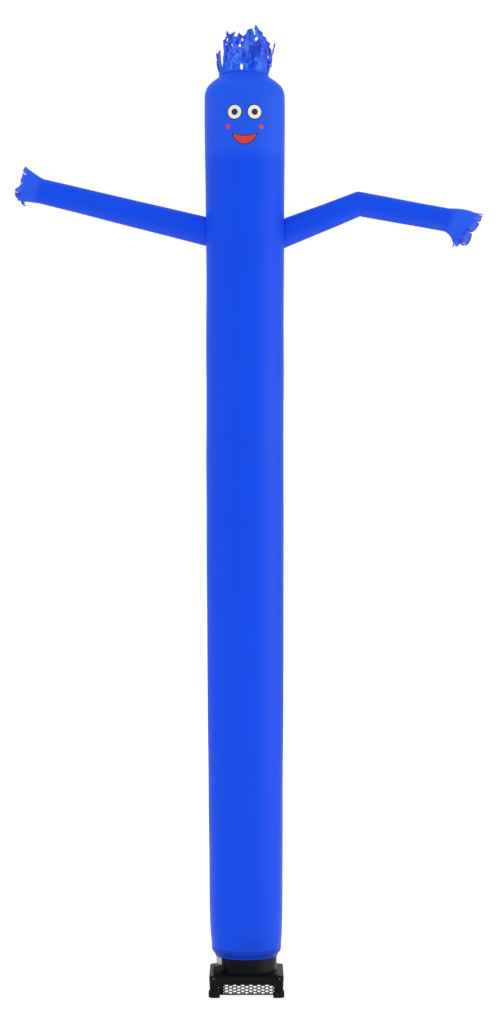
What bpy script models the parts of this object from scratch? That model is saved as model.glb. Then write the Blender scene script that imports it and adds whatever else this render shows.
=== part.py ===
"""An inflatable air dancer standing on its fan blower, for Blender 4.5.

Units are metres, +Z is up and the ground is z = 0. The origin is on the ground, under the
middle of the blower's base. The dancer faces -Y. Left and right are those of someone who
looks at its face, so left is -X.

The dancer is cloth held round by air: one body tube whose hem grips the blower's drum, two
arm tubes sewn round holes in the body, a cuff cut into strips at the end of each arm, and a
fringe of hair round the open neck. The blower is a folded base with four grilles, a drum, a
rocker switch, a cord gland and four rubber feet.
"""
import math
from collections import namedtuple

import bmesh
import bpy
from mathutils import Matrix, Vector

GAP = 0.0003             # between two pieces that touch
X_AXIS = Vector((1, 0, 0))
Y_AXIS = Vector((0, 1, 0))
Z_AXIS = Vector((0, 0, 1))

# ---- cloth ----
CLOTH = 0.001            # coated nylon
BODY_FACETS = 44
ARM_FACETS = 24
ARM_BACK = 0.055         # the arms are sewn on a little behind the body's middle
ARM_ROOT_INSIDE = 0.17   # each arm is first drawn from here, then cut to the body's wall

Section = namedtuple("Section", "height radius drift")   # drift: the tube leans towards -X
BODY = (
    Section(0.218, 0.1832, 0.000),    # hem edge, tight on the drum
    Section(0.228, 0.1862, 0.000),
    Section(0.236, 0.1925, 0.000),
    Section(0.247, 0.2010, 0.000),
    Section(0.259, 0.2050, 0.000),    # the fold where the hem turns under
    Section(0.300, 0.2085, 0.000),
    Section(0.366, 0.2140, -0.001),
    Section(0.546, 0.2184, -0.002),
    Section(1.146, 0.2226, -0.004),
    Section(1.746, 0.2267, -0.006),
    Section(2.346, 0.2300, -0.008),
    Section(3.546, 0.2320, -0.009),
    Section(4.326, 0.2330, -0.009),
    Section(4.806, 0.2368, -0.010),
    Section(5.166, 0.2404, -0.011),
    Section(5.310, 0.2414, -0.011),   # the head, at its fullest
    Section(5.372, 0.2404, -0.011),
    Section(5.394, 0.2355, -0.011),
    Section(5.412, 0.2285, -0.012),
    Section(5.430, 0.2150, -0.012),
    Section(5.448, 0.1945, -0.013),
    Section(5.466, 0.1695, -0.014),
    Section(5.479, 0.1510, -0.015),
    Section(5.490, 0.1470, -0.016),   # the open neck
)

Station = namedtuple("Station", "x z radius")
LEFT_ARM = (
    Station(-0.243, 4.563, 0.0850),
    Station(-0.560, 4.641, 0.0815),
    Station(-0.900, 4.724, 0.0770),
    Station(-1.232, 4.805, 0.0740),
)
RIGHT_ARM = (
    Station(0.231, 4.554, 0.0835),
    Station(0.450, 4.640, 0.0775),
    Station(0.676, 4.729, 0.0728),    # the elbow
    Station(0.940, 4.681, 0.0712),
    Station(1.203, 4.634, 0.0705),
)

# A cut edge is a ring of strips. Columns: how far the strip reaches along the stem (1 is the
# full length), how far its tip leans outwards, how many strip widths it swings sideways, and
# which part of its tip reaches furthest, from 0 to 1 across it.
Strip = namedtuple("Strip", "reach lean swing peak")
Cuff = namedtuple("Cuff", "mouth mouth_up half_height half_depth strips")
CUFF_SLIT = 0.62         # the slits start this far along the cuff
CUFF_FLARE_POWER = 1.4   # the flare is mostly near the mouth
HAIR_SLIT = 0.07
HAIR_LENGTH = 0.297
HAIR_FLARE = 0.010
LEFT_CUFF = Cuff(
    mouth=Vector((-1.346, ARM_BACK, 4.846)),
    mouth_up=Vector((0.290, 0.0, 0.957)),
    half_height=0.102,
    half_depth=0.048,
    strips=(
        Strip(1.00, 0.002, 0.0, 0.2),
        Strip(0.96, 0.000, 0.1, 0.9),
        Strip(0.98, 0.006, 0.0, 0.4),
        Strip(1.04, 0.008, 0.0, 0.6),
        Strip(0.97, 0.004, -0.1, 0.1),
        Strip(1.02, 0.000, 0.0, 0.8),
        Strip(1.08, 0.004, 0.1, 0.3),
        Strip(1.10, 0.014, 0.0, 0.7),
        Strip(1.00, 0.024, -0.1, 0.2),
        Strip(1.04, 0.012, 0.0, 0.9),
    ),
)
RIGHT_CUFF = Cuff(
    mouth=Vector((1.327, ARM_BACK, 4.573)),
    mouth_up=Vector((0.647, 0.0, 0.762)),
    half_height=0.120,
    half_depth=0.050,
    strips=(
        Strip(1.00, 0.000, 0.0, 0.2),
        Strip(1.04, 0.004, 0.0, 0.8),
        Strip(0.98, 0.004, 0.1, 0.3),
        Strip(1.02, 0.002, 0.0, 0.7),
        Strip(0.95, 0.000, -0.1, 0.1),
        Strip(1.00, 0.004, 0.0, 0.6),
        Strip(0.93, 0.006, 0.0, 0.2),
        Strip(1.02, 0.010, 0.1, 0.8),
        Strip(0.96, 0.014, 0.0, 0.4),
        Strip(1.03, 0.008, -0.1, 0.9),
    ),
)
HAIR = (                              # from the right side, round the back, to the front
    Strip(0.60, 0.012, 0.1, 0.8),
    Strip(0.72, 0.004, -0.1, 0.2),
    Strip(0.80, 0.000, 0.2, 0.6),
    Strip(0.76, -0.006, -0.1, 0.1),
    Strip(0.86, 0.000, 0.1, 0.9),
    Strip(0.82, -0.010, 0.0, 0.3),
    Strip(0.70, 0.004, 0.1, 0.7),
    Strip(0.62, 0.010, -0.1, 0.2),
    Strip(0.54, 0.024, 0.0, 0.8),     # the short one that stands apart, at the left
    Strip(0.92, -0.004, 0.1, 0.1),
    Strip(0.88, -0.008, 0.1, 0.9),
    Strip(0.84, 0.000, 0.0, 0.5),
    Strip(0.94, -0.004, 0.1, 0.2),
    Strip(1.00, 0.004, 0.0, 0.1),     # the tallest
    Strip(0.86, 0.008, 0.1, 0.1),
    Strip(0.64, 0.016, 0.0, 0.9),
)

# ---- blower ----
BASE_LOW = 0.018         # lower edge of the folded base
BASE_HALF_LOW = 0.2165
BASE_HALF_HIGH = 0.2215
WALL_HIGH = 0.121        # where the walls turn in to the deck
SHOULDER = ((0.0020, 0.0045), (0.0065, 0.0065))   # inset from the wall, rise above its top
DECK = 0.1347
SHEET = 0.0025           # steel of the base and of the drum
BASE_CORNER = 0.020
CORNER_POINTS = 8
OUTLET_RADIUS = 0.160
WALL_TILT = math.atan((BASE_HALF_HIGH - BASE_HALF_LOW) / (WALL_HIGH - BASE_LOW))
SIDES = ("front", "right", "back", "left")

WINDOW_WIDTH = 0.298
WINDOW_HEIGHT = 0.052
WINDOW_SHIFT = 0.0137    # each window is off the middle, towards the viewer's right
WINDOW_LOW = 0.008       # above the wall's lower edge
MESH_THICK = 0.0015
CELL_POINT = 0.034       # half the width of one cell of the mesh, across its points
CELL_FLAT = 0.014        # half the width of its flat top and bottom
CELL_HALF = 0.0145       # half its height
STRAND_HALF = 0.0022
MESH_COLUMNS = 9
MESH_ROWS = 3
MESH_LAP = 0.006         # the panel laps this far behind the window's edges

DRUM_RADIUS = 0.181
DRUM_TOP = 0.300
DRUM_FACETS = 56
FLANGE_RADIUS = 0.190
FLANGE_THICK = 0.005
FLANGE_RISE = 0.007      # up to where the flange meets the barrel

FOOT_IN = 0.158
FOOT_OUT = 0.2245
FOOT_TOP = 0.038
FOOT_CORNER = 0.027
FOOT_BEVEL = 0.004

# The switch box is a wedge with its slope towards the front. Places along its profile are
# (y, z) pairs, and the rocker's pocket is measured along and into the slope.
SWITCH_LEFT = -0.197
SWITCH_RIGHT = -0.158
SWITCH_FRONT = -0.170
SWITCH_BACK = -0.116
SWITCH_LIP = 0.005
SWITCH_RISE = 0.036
SLOPE = math.radians(45)
POCKET_HALF_WIDTH = 0.0128
POCKET_HALF_LENGTH = 0.0155
POCKET_DEPTH = 0.009
ROCKER_HALF_WIDTH = 0.0123
ROCKER_RADIUS = 0.015    # its ends are arcs about the pivot, so they clear the pocket
ROCKER_END = 0.005       # its raised ends, above the slope
ROCKER_MIDDLE = 0.0028
ROCKER_BOTTOM = -0.006
ROCKER_ARC_STEPS = 4
PIVOT_DEPTH = 0.003
ROCKER_TILT = math.radians(7)

SCREW_SPREAD = 0.196
SCREW_UP = 0.096         # above the wall's lower edge
SCREW_RADIUS = 0.005
SCREW_HEAD = 0.002
SCREW_TAPER = 0.7
GLAND_ALONG = -0.178
GLAND_UP = 0.066
GLAND_PROFILE = (        # radius and distance from the wall: a nose on a flange, with a bore
    (0.0085, 0.0170),
    (0.0085, 0.0070),
    (0.0120, 0.0060),
    (0.0120, GAP),
    (0.0045, GAP),
    (0.0045, 0.0170),
)
GLAND_FACETS = 20


def finish(name, colour, roughness, metallic=0.0):
    """A plain material. The colour is linear red, green and blue."""
    material = bpy.data.materials.new(name)
    material.use_nodes = True
    shader = material.node_tree.nodes["Principled BSDF"]
    shader.inputs["Base Color"].default_value = (*colour, 1.0)
    shader.inputs["Roughness"].default_value = roughness
    shader.inputs["Metallic"].default_value = metallic
    return material


def add_piece(name, shape, material):
    """Turn a bmesh into a named object."""
    mesh = bpy.data.meshes.new(name)
    shape.to_mesh(mesh)
    shape.free()
    mesh.shade_smooth()
    mesh.set_sharp_from_angle(angle=math.radians(35))
    mesh.materials.append(material)
    piece = bpy.data.objects.new(name, mesh)
    bpy.context.collection.objects.link(piece)
    return piece


def add_cutter(name, shape):
    """A solid that only cuts others."""
    mesh = bpy.data.meshes.new(name)
    shape.to_mesh(mesh)
    shape.free()
    cutter = bpy.data.objects.new(name, mesh)
    bpy.context.collection.objects.link(cutter)
    cutter.hide_render = True
    cutter.display_type = "WIRE"
    return cutter


def thicken(piece, thickness, even=False):
    """Give a sheet its thickness, inwards from its faces."""
    modifier = piece.modifiers.new("thickness", "SOLIDIFY")
    modifier.thickness = thickness
    modifier.offset = -1.0
    modifier.use_even_offset = even


def cut(piece, cutter):
    modifier = piece.modifiers.new("cut", "BOOLEAN")
    modifier.operation = "DIFFERENCE"
    modifier.solver = "EXACT"
    modifier.object = cutter


def ellipse(centre, across, up, half_width, half_height, count):
    """Points round an ellipse, counter-clockwise about across x up."""
    points = []
    for index in range(count):
        angle = 2 * math.pi * index / count
        side = across * half_width * math.cos(angle)
        points.append(centre + side + up * half_height * math.sin(angle))
    return points


def skin(rings, capped=False):
    """A tube of quads through rings of points, with its faces outwards."""
    shape = bmesh.new()
    loops = []
    for points in rings:
        loops.append([shape.verts.new(point) for point in points])
    for lower, upper in zip(loops, loops[1:]):
        for index, vertex in enumerate(lower):
            after = (index + 1) % len(lower)
            shape.faces.new((vertex, lower[after], upper[after], upper[index]))
    if capped:
        shape.faces.new(reversed(loops[0]))
        shape.faces.new(loops[-1])
    return shape


def prism(outline, start, end):
    """Extrude an outline of (y, z) pairs along X."""
    shape = bmesh.new()
    face = shape.faces.new([shape.verts.new((start, y, z)) for y, z in outline])
    grown = bmesh.ops.extrude_face_region(shape, geom=[face])
    moved = [item for item in grown["geom"] if isinstance(item, bmesh.types.BMVert)]
    bmesh.ops.translate(shape, verts=moved, vec=(end - start, 0, 0))
    bmesh.ops.recalc_face_normals(shape, faces=shape.faces)
    return shape


def box(low, high):
    shape = bmesh.new()
    size = Vector(high) - Vector(low)
    middle = (Vector(high) + Vector(low)) / 2
    placing = Matrix.Translation(middle) @ Matrix.Diagonal((*size, 1))
    bmesh.ops.create_cube(shape, size=1, matrix=placing)
    return shape


def turned(name, profile, steps, material):
    """Turn a closed outline of (radius, height) pairs about Z.

    The outline runs down its outer side first, so that the faces point outwards.
    """
    shape = bmesh.new()
    corners = [shape.verts.new((radius, 0, height)) for radius, height in profile]
    for index, corner in enumerate(corners):
        shape.edges.new((corner, corners[(index + 1) % len(corners)]))
    piece = add_piece(name, shape, material)
    modifier = piece.modifiers.new("turn", "SCREW")
    modifier.steps = steps
    modifier.render_steps = steps
    modifier.use_merge_vertices = True
    modifier.merge_threshold = 0.00005
    return piece


# ---------------------------------------------------------------- cloth

def body_rings(outset):
    rings = []
    for section in BODY:
        centre = Vector((section.drift, 0, section.height))
        radius = section.radius + outset
        rings.append(ellipse(centre, X_AXIS, Y_AXIS, radius, radius, BODY_FACETS))
    return rings


def arm_path(stations):
    """The arm's middle line, with a first point inside the body."""
    points = [Vector((station.x, ARM_BACK, station.z)) for station in stations]
    outward = (points[1] - points[0]).normalized()
    inside = points[0] - outward * ARM_ROOT_INSIDE
    return [inside] + points


def arm_rings(stations, inset, count):
    """Rings along the arm, each on the plane that halves the bend there."""
    points = arm_path(stations)
    radii = [stations[0].radius] + [station.radius for station in stations]
    rings = []
    for index, point in enumerate(points):
        before = points[max(index, 1)] - points[max(index, 1) - 1]
        last = min(index, len(points) - 2)
        after = points[last + 1] - points[last]
        ahead = (before.normalized() + after.normalized()).normalized()
        up = ahead.cross(Y_AXIS)
        up *= math.copysign(1, up.z)
        half_bend = before.angle(after) / 2
        radius = radii[index] - inset
        across = up.cross(ahead)
        rings.append(ellipse(point, across, up, radius, radius / math.cos(half_bend), count))
    return rings


def add_arm(name, stations, body_envelope, material):
    arm = add_piece(name, skin(arm_rings(stations, 0.0, ARM_FACETS)), material)
    thicken(arm, CLOTH)
    cut(arm, body_envelope)
    return arm


def comb(stem, strips, slit, band_rows, strip_rows, taper, tip_slope):
    """A sheet closed into a ring, cut into strips above its band.

    stem(rise) gives the ring's centre, its two half-axis directions and their half sizes at a
    rise of 0 at the sewn edge to 1 at full length. Each strip narrows by taper towards its
    tip, and tip_slope is how far the tip's corners fall back from its peak.
    """
    def point(turn, rise, lean):
        centre, across, up, half_width, half_height = stem(rise)
        angle = 2 * math.pi * turn
        side = across * (half_width + lean) * math.cos(angle)
        return centre + side + up * (half_height + lean) * math.sin(angle)

    columns = 2
    shape = bmesh.new()
    around = columns * len(strips)
    turns = [index / around for index in range(around)]
    band = [shape.verts.new(point(turn, 0.0, 0.0)) for turn in turns]
    for row in range(1, band_rows + 1):
        foot = band
        band = [shape.verts.new(point(turn, slit * row / band_rows, 0.0)) for turn in turns]
        for index in range(around):
            after = (index + 1) % around
            shape.faces.new((foot[index], foot[after], band[after], band[index]))
    for number, strip in enumerate(strips):
        below = [band[(number * columns + column) % around] for column in range(columns + 1)]
        for row in range(1, strip_rows + 1):
            share = row / strip_rows
            above = []
            for column in range(columns + 1):
                across_strip = column / columns
                spread = (across_strip - 0.5) * (1 - taper * share)
                turn = (number + 0.5 + spread + strip.swing * share ** 2) / len(strips)
                rise = slit + share * (strip.reach - slit)
                if row == strip_rows:
                    rise -= tip_slope * abs(across_strip - strip.peak)
                above.append(shape.verts.new(point(turn, rise, strip.lean * share ** 2)))
            for column in range(columns):
                corners = (below[column], below[column + 1], above[column + 1], above[column])
                shape.faces.new(corners)
            below = above
    return shape


def cuff_stem(stations, cuff):
    """The cuff goes from the arm's round end to a tall, flat mouth."""
    elbow_side, wrist = arm_path(stations)[-2:]
    wrist_direction = (wrist - elbow_side).normalized()
    wrist += wrist_direction * GAP
    wrist_up = wrist_direction.cross(Y_AXIS)
    wrist_up *= math.copysign(1, wrist_up.z)
    mouth_up = cuff.mouth_up.normalized()
    reach = (cuff.mouth - wrist).length
    knee = wrist + wrist_direction * reach / 2
    radius = stations[-1].radius

    def stem(rise):
        start = wrist.lerp(knee, rise)
        centre = start.lerp(knee.lerp(cuff.mouth, rise), rise)
        up = wrist_up.lerp(mouth_up, rise).normalized()
        ahead = up.cross(Y_AXIS)
        ahead *= math.copysign(1, ahead.dot(wrist_direction))
        flare = rise ** CUFF_FLARE_POWER
        half_depth = radius + (cuff.half_depth - radius) * flare
        half_height = radius + (cuff.half_height - radius) * flare
        return centre, up.cross(ahead), up, half_depth, half_height
    return stem


def hair_stem(rise):
    neck = BODY[-1]
    centre = Vector((neck.drift, 0, neck.height + GAP + HAIR_LENGTH * rise))
    radius = neck.radius + HAIR_FLARE * rise
    return centre, X_AXIS, Y_AXIS, radius, radius


def build_cloth():
    nylon = finish("nylon_blue", (0.010, 0.075, 0.79), 0.45)
    body = add_piece("body_tube", skin(body_rings(0.0)), nylon)
    thicken(body, CLOTH)
    envelope = add_cutter("body_envelope", skin(body_rings(GAP), capped=True))
    for side, stations, cuff in (("left", LEFT_ARM, LEFT_CUFF), ("right", RIGHT_ARM, RIGHT_CUFF)):
        add_arm("arm_" + side, stations, envelope, nylon)
        root = arm_rings(stations[:2], 2 * CLOTH, ARM_FACETS)
        cut(body, add_cutter("armhole_" + side, skin(root, capped=True)))
        fringe = comb(
            cuff_stem(stations, cuff),
            cuff.strips,
            CUFF_SLIT,
            band_rows=3,
            strip_rows=2,
            taper=0.10,
            tip_slope=0.06,
        )
        thicken(add_piece("hand_" + side, fringe, nylon), CLOTH)
    fringe = comb(
        hair_stem,
        HAIR,
        HAIR_SLIT,
        band_rows=1,
        strip_rows=5,
        taper=0.14,
        tip_slope=0.15,
    )
    thicken(add_piece("hair_fringe", fringe, nylon), CLOTH)


# --------------------------------------------------------------- blower

def rounded_square(half, corner, height):
    points = []
    for quarter in range(4):
        middle = Matrix.Rotation(quarter * math.pi / 2, 3, "Z") @ Vector((1, 1, 0))
        middle = middle * (half - corner)
        for step in range(CORNER_POINTS):
            angle = (quarter + step / (CORNER_POINTS - 1)) * math.pi / 2
            arc = Vector((math.cos(angle), math.sin(angle), 0)) * corner
            points.append(middle + arc + Z_AXIS * height)
    return points


def outlet_ring():
    count = 4 * CORNER_POINTS
    points = []
    for index in range(count):
        angle = 2 * math.pi * (index + 0.5) / count
        flat = Vector((math.cos(angle), math.sin(angle), 0)) * OUTLET_RADIUS
        points.append(flat + Z_AXIS * DECK)
    return points


def wall_frame(side):
    """The frame of one wall of the base.

    It starts in the middle of the wall's lower edge, on its outer face. Its x runs to the
    right of someone who faces the wall, its y runs inwards, and its z runs up the wall.
    """
    turn = Matrix.Rotation(side * math.pi / 2, 4, "Z")
    edge = Matrix.Translation((0, -BASE_HALF_LOW, BASE_LOW))
    return turn @ edge @ Matrix.Rotation(WALL_TILT, 4, "X")


def add_housing(steel):
    rings = [
        rounded_square(BASE_HALF_LOW, BASE_CORNER, BASE_LOW),
        rounded_square(BASE_HALF_HIGH, BASE_CORNER, WALL_HIGH),
    ]
    for inset, rise in SHOULDER:
        rings.append(rounded_square(BASE_HALF_HIGH - inset, BASE_CORNER - inset, WALL_HIGH + rise))
    rings.append(rounded_square(FLANGE_RADIUS, BASE_CORNER, DECK))
    rings.append(outlet_ring())
    housing = add_piece("blower_housing", skin(rings), steel)
    thicken(housing, SHEET, even=True)
    reach = 4 * SHEET                 # so that each cutter goes well through its wall
    for side, name in enumerate(SIDES):
        low = (WINDOW_SHIFT - WINDOW_WIDTH / 2, -reach, WINDOW_LOW)
        high = (WINDOW_SHIFT + WINDOW_WIDTH / 2, reach, WINDOW_LOW + WINDOW_HEIGHT)
        window = add_cutter("window_" + name, box(low, high))
        window.matrix_world = wall_frame(side)
        cut(housing, window)


def mesh_cell(shape, x, z):
    """One six-sided cell of the expanded mesh, as a flat frame round its hole."""
    half_flat, half_point, half_tall = CELL_FLAT, CELL_POINT, CELL_HALF
    run = half_point - half_flat
    slant = math.hypot(half_tall, run)
    hole_tall = half_tall - STRAND_HALF
    hole_point = half_point - STRAND_HALF * slant / half_tall
    hole_flat = hole_point - run * hole_tall / half_tall

    def corners(point, flat, tall):
        around = ((-point, 0), (-flat, -tall), (flat, -tall), (point, 0), (flat, tall), (-flat, tall))
        return [shape.verts.new((x + u, 0, z + w)) for u, w in around]

    outer = corners(half_point, half_flat, half_tall)
    inner = corners(hole_point, hole_flat, hole_tall)
    for index in range(6):
        after = (index + 1) % 6
        shape.faces.new((outer[index], outer[after], inner[after], inner[index]))


def grille_sheet():
    """A panel of mesh, flat in XZ and centred on its origin, facing -Y."""
    shape = bmesh.new()
    pitch = CELL_POINT + CELL_FLAT
    for column in range(MESH_COLUMNS):
        x = (column - (MESH_COLUMNS - 1) / 2) * pitch
        for row in range(MESH_ROWS):
            lift = 0.25 if column % 2 else -0.25
            z = (row - (MESH_ROWS - 1) / 2 + lift) * 2 * CELL_HALF
            mesh_cell(shape, x, z)
    bmesh.ops.remove_doubles(shape, verts=shape.verts, dist=0.00005)
    edge_x = X_AXIS * (WINDOW_WIDTH / 2 + MESH_LAP)
    edge_z = Z_AXIS * (WINDOW_HEIGHT / 2 + MESH_LAP)
    for edge in (edge_x, -edge_x, edge_z, -edge_z):
        everything = shape.verts[:] + shape.edges[:] + shape.faces[:]
        bmesh.ops.bisect_plane(
            shape, geom=everything, dist=0.00001, plane_co=edge, plane_no=edge, clear_outer=True
        )
    return shape


def add_grilles(steel):
    for side, name in enumerate(SIDES):
        grille = add_piece("grille_" + name, grille_sheet(), steel)
        thicken(grille, MESH_THICK)
        centre = Vector((WINDOW_SHIFT, SHEET + GAP, WINDOW_LOW + WINDOW_HEIGHT / 2))
        grille.matrix_world = wall_frame(side) @ Matrix.Translation(centre)


def add_drum(steel):
    foot = DECK + GAP
    inner = DRUM_RADIUS - SHEET
    profile = (
        (DRUM_RADIUS, DRUM_TOP),
        (DRUM_RADIUS, foot + FLANGE_RISE),
        (FLANGE_RADIUS, foot + FLANGE_THICK),
        (FLANGE_RADIUS, foot),
        (inner, foot),
        (inner, DRUM_TOP),
    )
    turned("blower_drum", profile, DRUM_FACETS, steel)


def foot_outline():
    """The foot at the back right corner, seen from above, counter-clockwise."""
    points = [(FOOT_IN, FOOT_IN), (FOOT_OUT, FOOT_IN)]
    middle = FOOT_OUT - FOOT_CORNER
    for step in range(CORNER_POINTS):
        angle = step / (CORNER_POINTS - 1) * math.pi / 2
        x = middle + FOOT_CORNER * math.cos(angle)
        y = middle + FOOT_CORNER * math.sin(angle)
        points.append((x, y))
    points.append((FOOT_IN, FOOT_OUT))
    return points


def add_feet(rubber):
    tall = 2 * FOOT_TOP
    lean = math.tan(WALL_TILT) * (tall - BASE_LOW)
    envelope = [
        rounded_square(BASE_HALF_LOW + GAP, BASE_CORNER + GAP, BASE_LOW - GAP),
        rounded_square(BASE_HALF_LOW + GAP + lean, BASE_CORNER + GAP, tall),
    ]
    cutter = add_cutter("base_envelope", skin(envelope, capped=True))
    outline = foot_outline()
    levels = (
        (0.0, FOOT_BEVEL),
        (FOOT_BEVEL, 0.0),
        (FOOT_TOP - FOOT_BEVEL, 0.0),
        (FOOT_TOP, FOOT_BEVEL),
    )
    heart = (FOOT_IN + FOOT_OUT) / 2
    rings = []
    for height, inset in levels:
        shrink = 1 - 2 * inset / (FOOT_OUT - FOOT_IN)
        ring = []
        for x, y in outline:
            ring.append(Vector((heart + (x - heart) * shrink, heart + (y - heart) * shrink, height)))
        rings.append(ring)
    for quarter, name in enumerate(("back_right", "back_left", "front_left", "front_right")):
        foot = add_piece("foot_" + name, skin(rings, capped=True), rubber)
        foot.rotation_euler.z = quarter * math.pi / 2
        cut(foot, cutter)


def slope_frame():
    """The middle of the switch's slope: x along the pivot, y up the slope, z out of it."""
    across = (SWITCH_LEFT + SWITCH_RIGHT) / 2
    low = Vector((across, SWITCH_FRONT, DECK + GAP + SWITCH_LIP))
    run = SWITCH_RISE - SWITCH_LIP
    high = low + Vector((0, run / math.tan(SLOPE), run))
    return Matrix.Translation((low + high) / 2) @ Matrix.Rotation(SLOPE, 4, "X")


def add_switch(plastic, red):
    foot = DECK + GAP
    run = SWITCH_RISE - SWITCH_LIP
    wedge = (
        (SWITCH_FRONT, foot),
        (SWITCH_FRONT, foot + SWITCH_LIP),
        (SWITCH_FRONT + run / math.tan(SLOPE), foot + SWITCH_RISE),
        (SWITCH_BACK, foot + SWITCH_RISE),
        (SWITCH_BACK, foot),
    )
    case = add_piece("switch_box", prism(wedge, SWITCH_LEFT, SWITCH_RIGHT), plastic)
    low = (-POCKET_HALF_WIDTH, -POCKET_HALF_LENGTH, -POCKET_DEPTH)
    high = (POCKET_HALF_WIDTH, POCKET_HALF_LENGTH, POCKET_DEPTH)
    pocket = add_cutter("switch_pocket", box(low, high))
    pocket.matrix_world = slope_frame()
    cut(case, pocket)

    def end_arc(direction, start, stop):
        """One end of the rocker, on a circle about its pivot."""
        arc = []
        for step in range(ROCKER_ARC_STEPS + 1):
            rise = start + (stop - start) * step / ROCKER_ARC_STEPS + PIVOT_DEPTH
            arc.append((direction * math.sqrt(ROCKER_RADIUS ** 2 - rise ** 2), rise))
        return arc

    section = end_arc(1, ROCKER_BOTTOM, ROCKER_END)
    section.append((0.0, ROCKER_MIDDLE + PIVOT_DEPTH))
    section += end_arc(-1, ROCKER_END, ROCKER_BOTTOM)
    rocker = add_piece("rocker", prism(section, -ROCKER_HALF_WIDTH, ROCKER_HALF_WIDTH), red)
    pivot = slope_frame() @ Matrix.Translation((0, 0, -PIVOT_DEPTH))
    rocker.matrix_world = pivot @ Matrix.Rotation(ROCKER_TILT, 4, "X")


def add_fittings(steel, plastic):
    for side in (0, 2):
        for direction, hand in ((-1, "left"), (1, "right")):
            shape = bmesh.new()
            bmesh.ops.create_cone(
                shape,
                cap_ends=True,
                segments=12,
                radius1=SCREW_RADIUS,
                radius2=SCREW_RADIUS * SCREW_TAPER,
                depth=SCREW_HEAD,
            )
            screw = add_piece(f"screw_{SIDES[side]}_{hand}", shape, steel)
            place = Vector((direction * SCREW_SPREAD, -GAP - SCREW_HEAD / 2, SCREW_UP))
            outward = Matrix.Rotation(math.pi / 2, 4, "X")
            screw.matrix_world = wall_frame(side) @ Matrix.Translation(place) @ outward
    gland = turned("cord_gland", GLAND_PROFILE, GLAND_FACETS, plastic)
    place = Matrix.Translation((GLAND_ALONG, 0, GLAND_UP))
    gland.matrix_world = wall_frame(2) @ place @ Matrix.Rotation(math.pi / 2, 4, "X")


def build_blower():
    steel = finish("steel_black", (0.008, 0.009, 0.011), 0.42, 0.35)
    mesh_steel = finish("mesh_black", (0.006, 0.006, 0.007), 0.40, 0.60)
    rubber = finish("rubber_black", (0.007, 0.007, 0.008), 0.75)
    plastic = finish("plastic_black", (0.010, 0.010, 0.011), 0.50)
    red = finish("plastic_red", (0.130, 0.006, 0.012), 0.30)
    screw_steel = finish("screw_steel", (0.30, 0.30, 0.30), 0.35, 0.90)
    add_housing(steel)
    add_drum(steel)
    add_grilles(mesh_steel)
    add_feet(rubber)
    add_switch(plastic, red)
    add_fittings(screw_steel, plastic)


def main():
    for leftover in list(bpy.data.objects):
        bpy.data.objects.remove(leftover)
    build_cloth()
    build_blower()


main()
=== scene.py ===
"""The looks of the inflatable air dancer and its fan blower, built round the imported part.

Units are metres, +Z is up and the ground is z = 0. The dancer faces -Y, and left is -X. The
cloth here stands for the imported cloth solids, with its seams, stitches, pleats, creases and
weave. The blower's base, drum and grilles are built again in finer detail where their solids
are. Its other solids stay as packed and get their finish.
"""
import bisect
import math
import random
from collections import namedtuple

import bmesh
import bpy
from mathutils import Matrix, Vector, noise


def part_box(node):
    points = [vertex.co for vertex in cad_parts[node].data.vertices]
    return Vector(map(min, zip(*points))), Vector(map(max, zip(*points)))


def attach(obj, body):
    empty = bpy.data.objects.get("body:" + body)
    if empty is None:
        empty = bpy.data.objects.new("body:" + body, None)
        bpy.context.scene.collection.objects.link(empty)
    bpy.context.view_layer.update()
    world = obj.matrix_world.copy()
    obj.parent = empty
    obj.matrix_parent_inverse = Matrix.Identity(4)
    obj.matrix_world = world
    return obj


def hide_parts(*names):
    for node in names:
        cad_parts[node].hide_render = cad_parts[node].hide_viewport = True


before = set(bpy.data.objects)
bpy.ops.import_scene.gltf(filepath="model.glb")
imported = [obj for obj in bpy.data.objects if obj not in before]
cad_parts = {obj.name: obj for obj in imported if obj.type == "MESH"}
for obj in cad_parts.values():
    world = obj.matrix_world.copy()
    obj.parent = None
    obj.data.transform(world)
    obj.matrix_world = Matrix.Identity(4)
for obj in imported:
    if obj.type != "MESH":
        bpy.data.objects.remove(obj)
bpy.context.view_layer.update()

X_AXIS = Vector((1, 0, 0))
Y_AXIS = Vector((0, 1, 0))
Z_AXIS = Vector((0, 0, 1))
BODY = "dancer"
GAP = 0.0003             # between two pieces that touch
CLOTH = 0.001            # thickness of the cloth sheets, as packed
PALE = "pale"            # the mesh attribute that says how pale the cloth is, from wear and painted light shining through, 1 at a cut edge
PAINTED_LIGHT = "painted_light"            # the painted light and shade of the cloth, with the lift of cuffs and hair, from -1, painted shade, to 1, painted highlight
CLOTH_MAP = "cloth_map"  # the UV map that holds metres across and along the cloth


# ------------------------------------------------------------- materials

WEAVE_PITCH = 0.0011
RIPSTOP_PITCH = 0.0065


def feed(tree, source, target):
    """Connect an output, or set a plain value, to an input. Colours are linear."""
    if isinstance(source, bpy.types.NodeSocket):
        tree.links.new(source, target)
    elif target.type == "RGBA":
        target.default_value = (*source, 1.0)
    else:
        target.default_value = source


def node(tree, kind, inputs=None, **settings):
    """A new node with its settings, its inputs fed by name or number."""
    made = tree.nodes.new(kind)
    for key, value in settings.items():
        setattr(made, key, value)
    for key, value in (inputs or {}).items():
        feed(tree, value, made.inputs[key])
    return made


def blank_material(name, colour, roughness, plain=None):
    """A material with plain values on its Principled shader's sockets."""
    material = bpy.data.materials.new(name)
    material.use_nodes = True
    tree = material.node_tree
    shader = tree.nodes["Principled BSDF"]
    for socket, value in {"Base Color": colour, "Roughness": roughness, **(plain or {})}.items():
        feed(tree, value, shader.inputs[socket])
    return material, tree, shader


def calc(tree, operation, *values):
    return node(tree, "ShaderNodeMath", dict(enumerate(values)), operation=operation).outputs[0]


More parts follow.
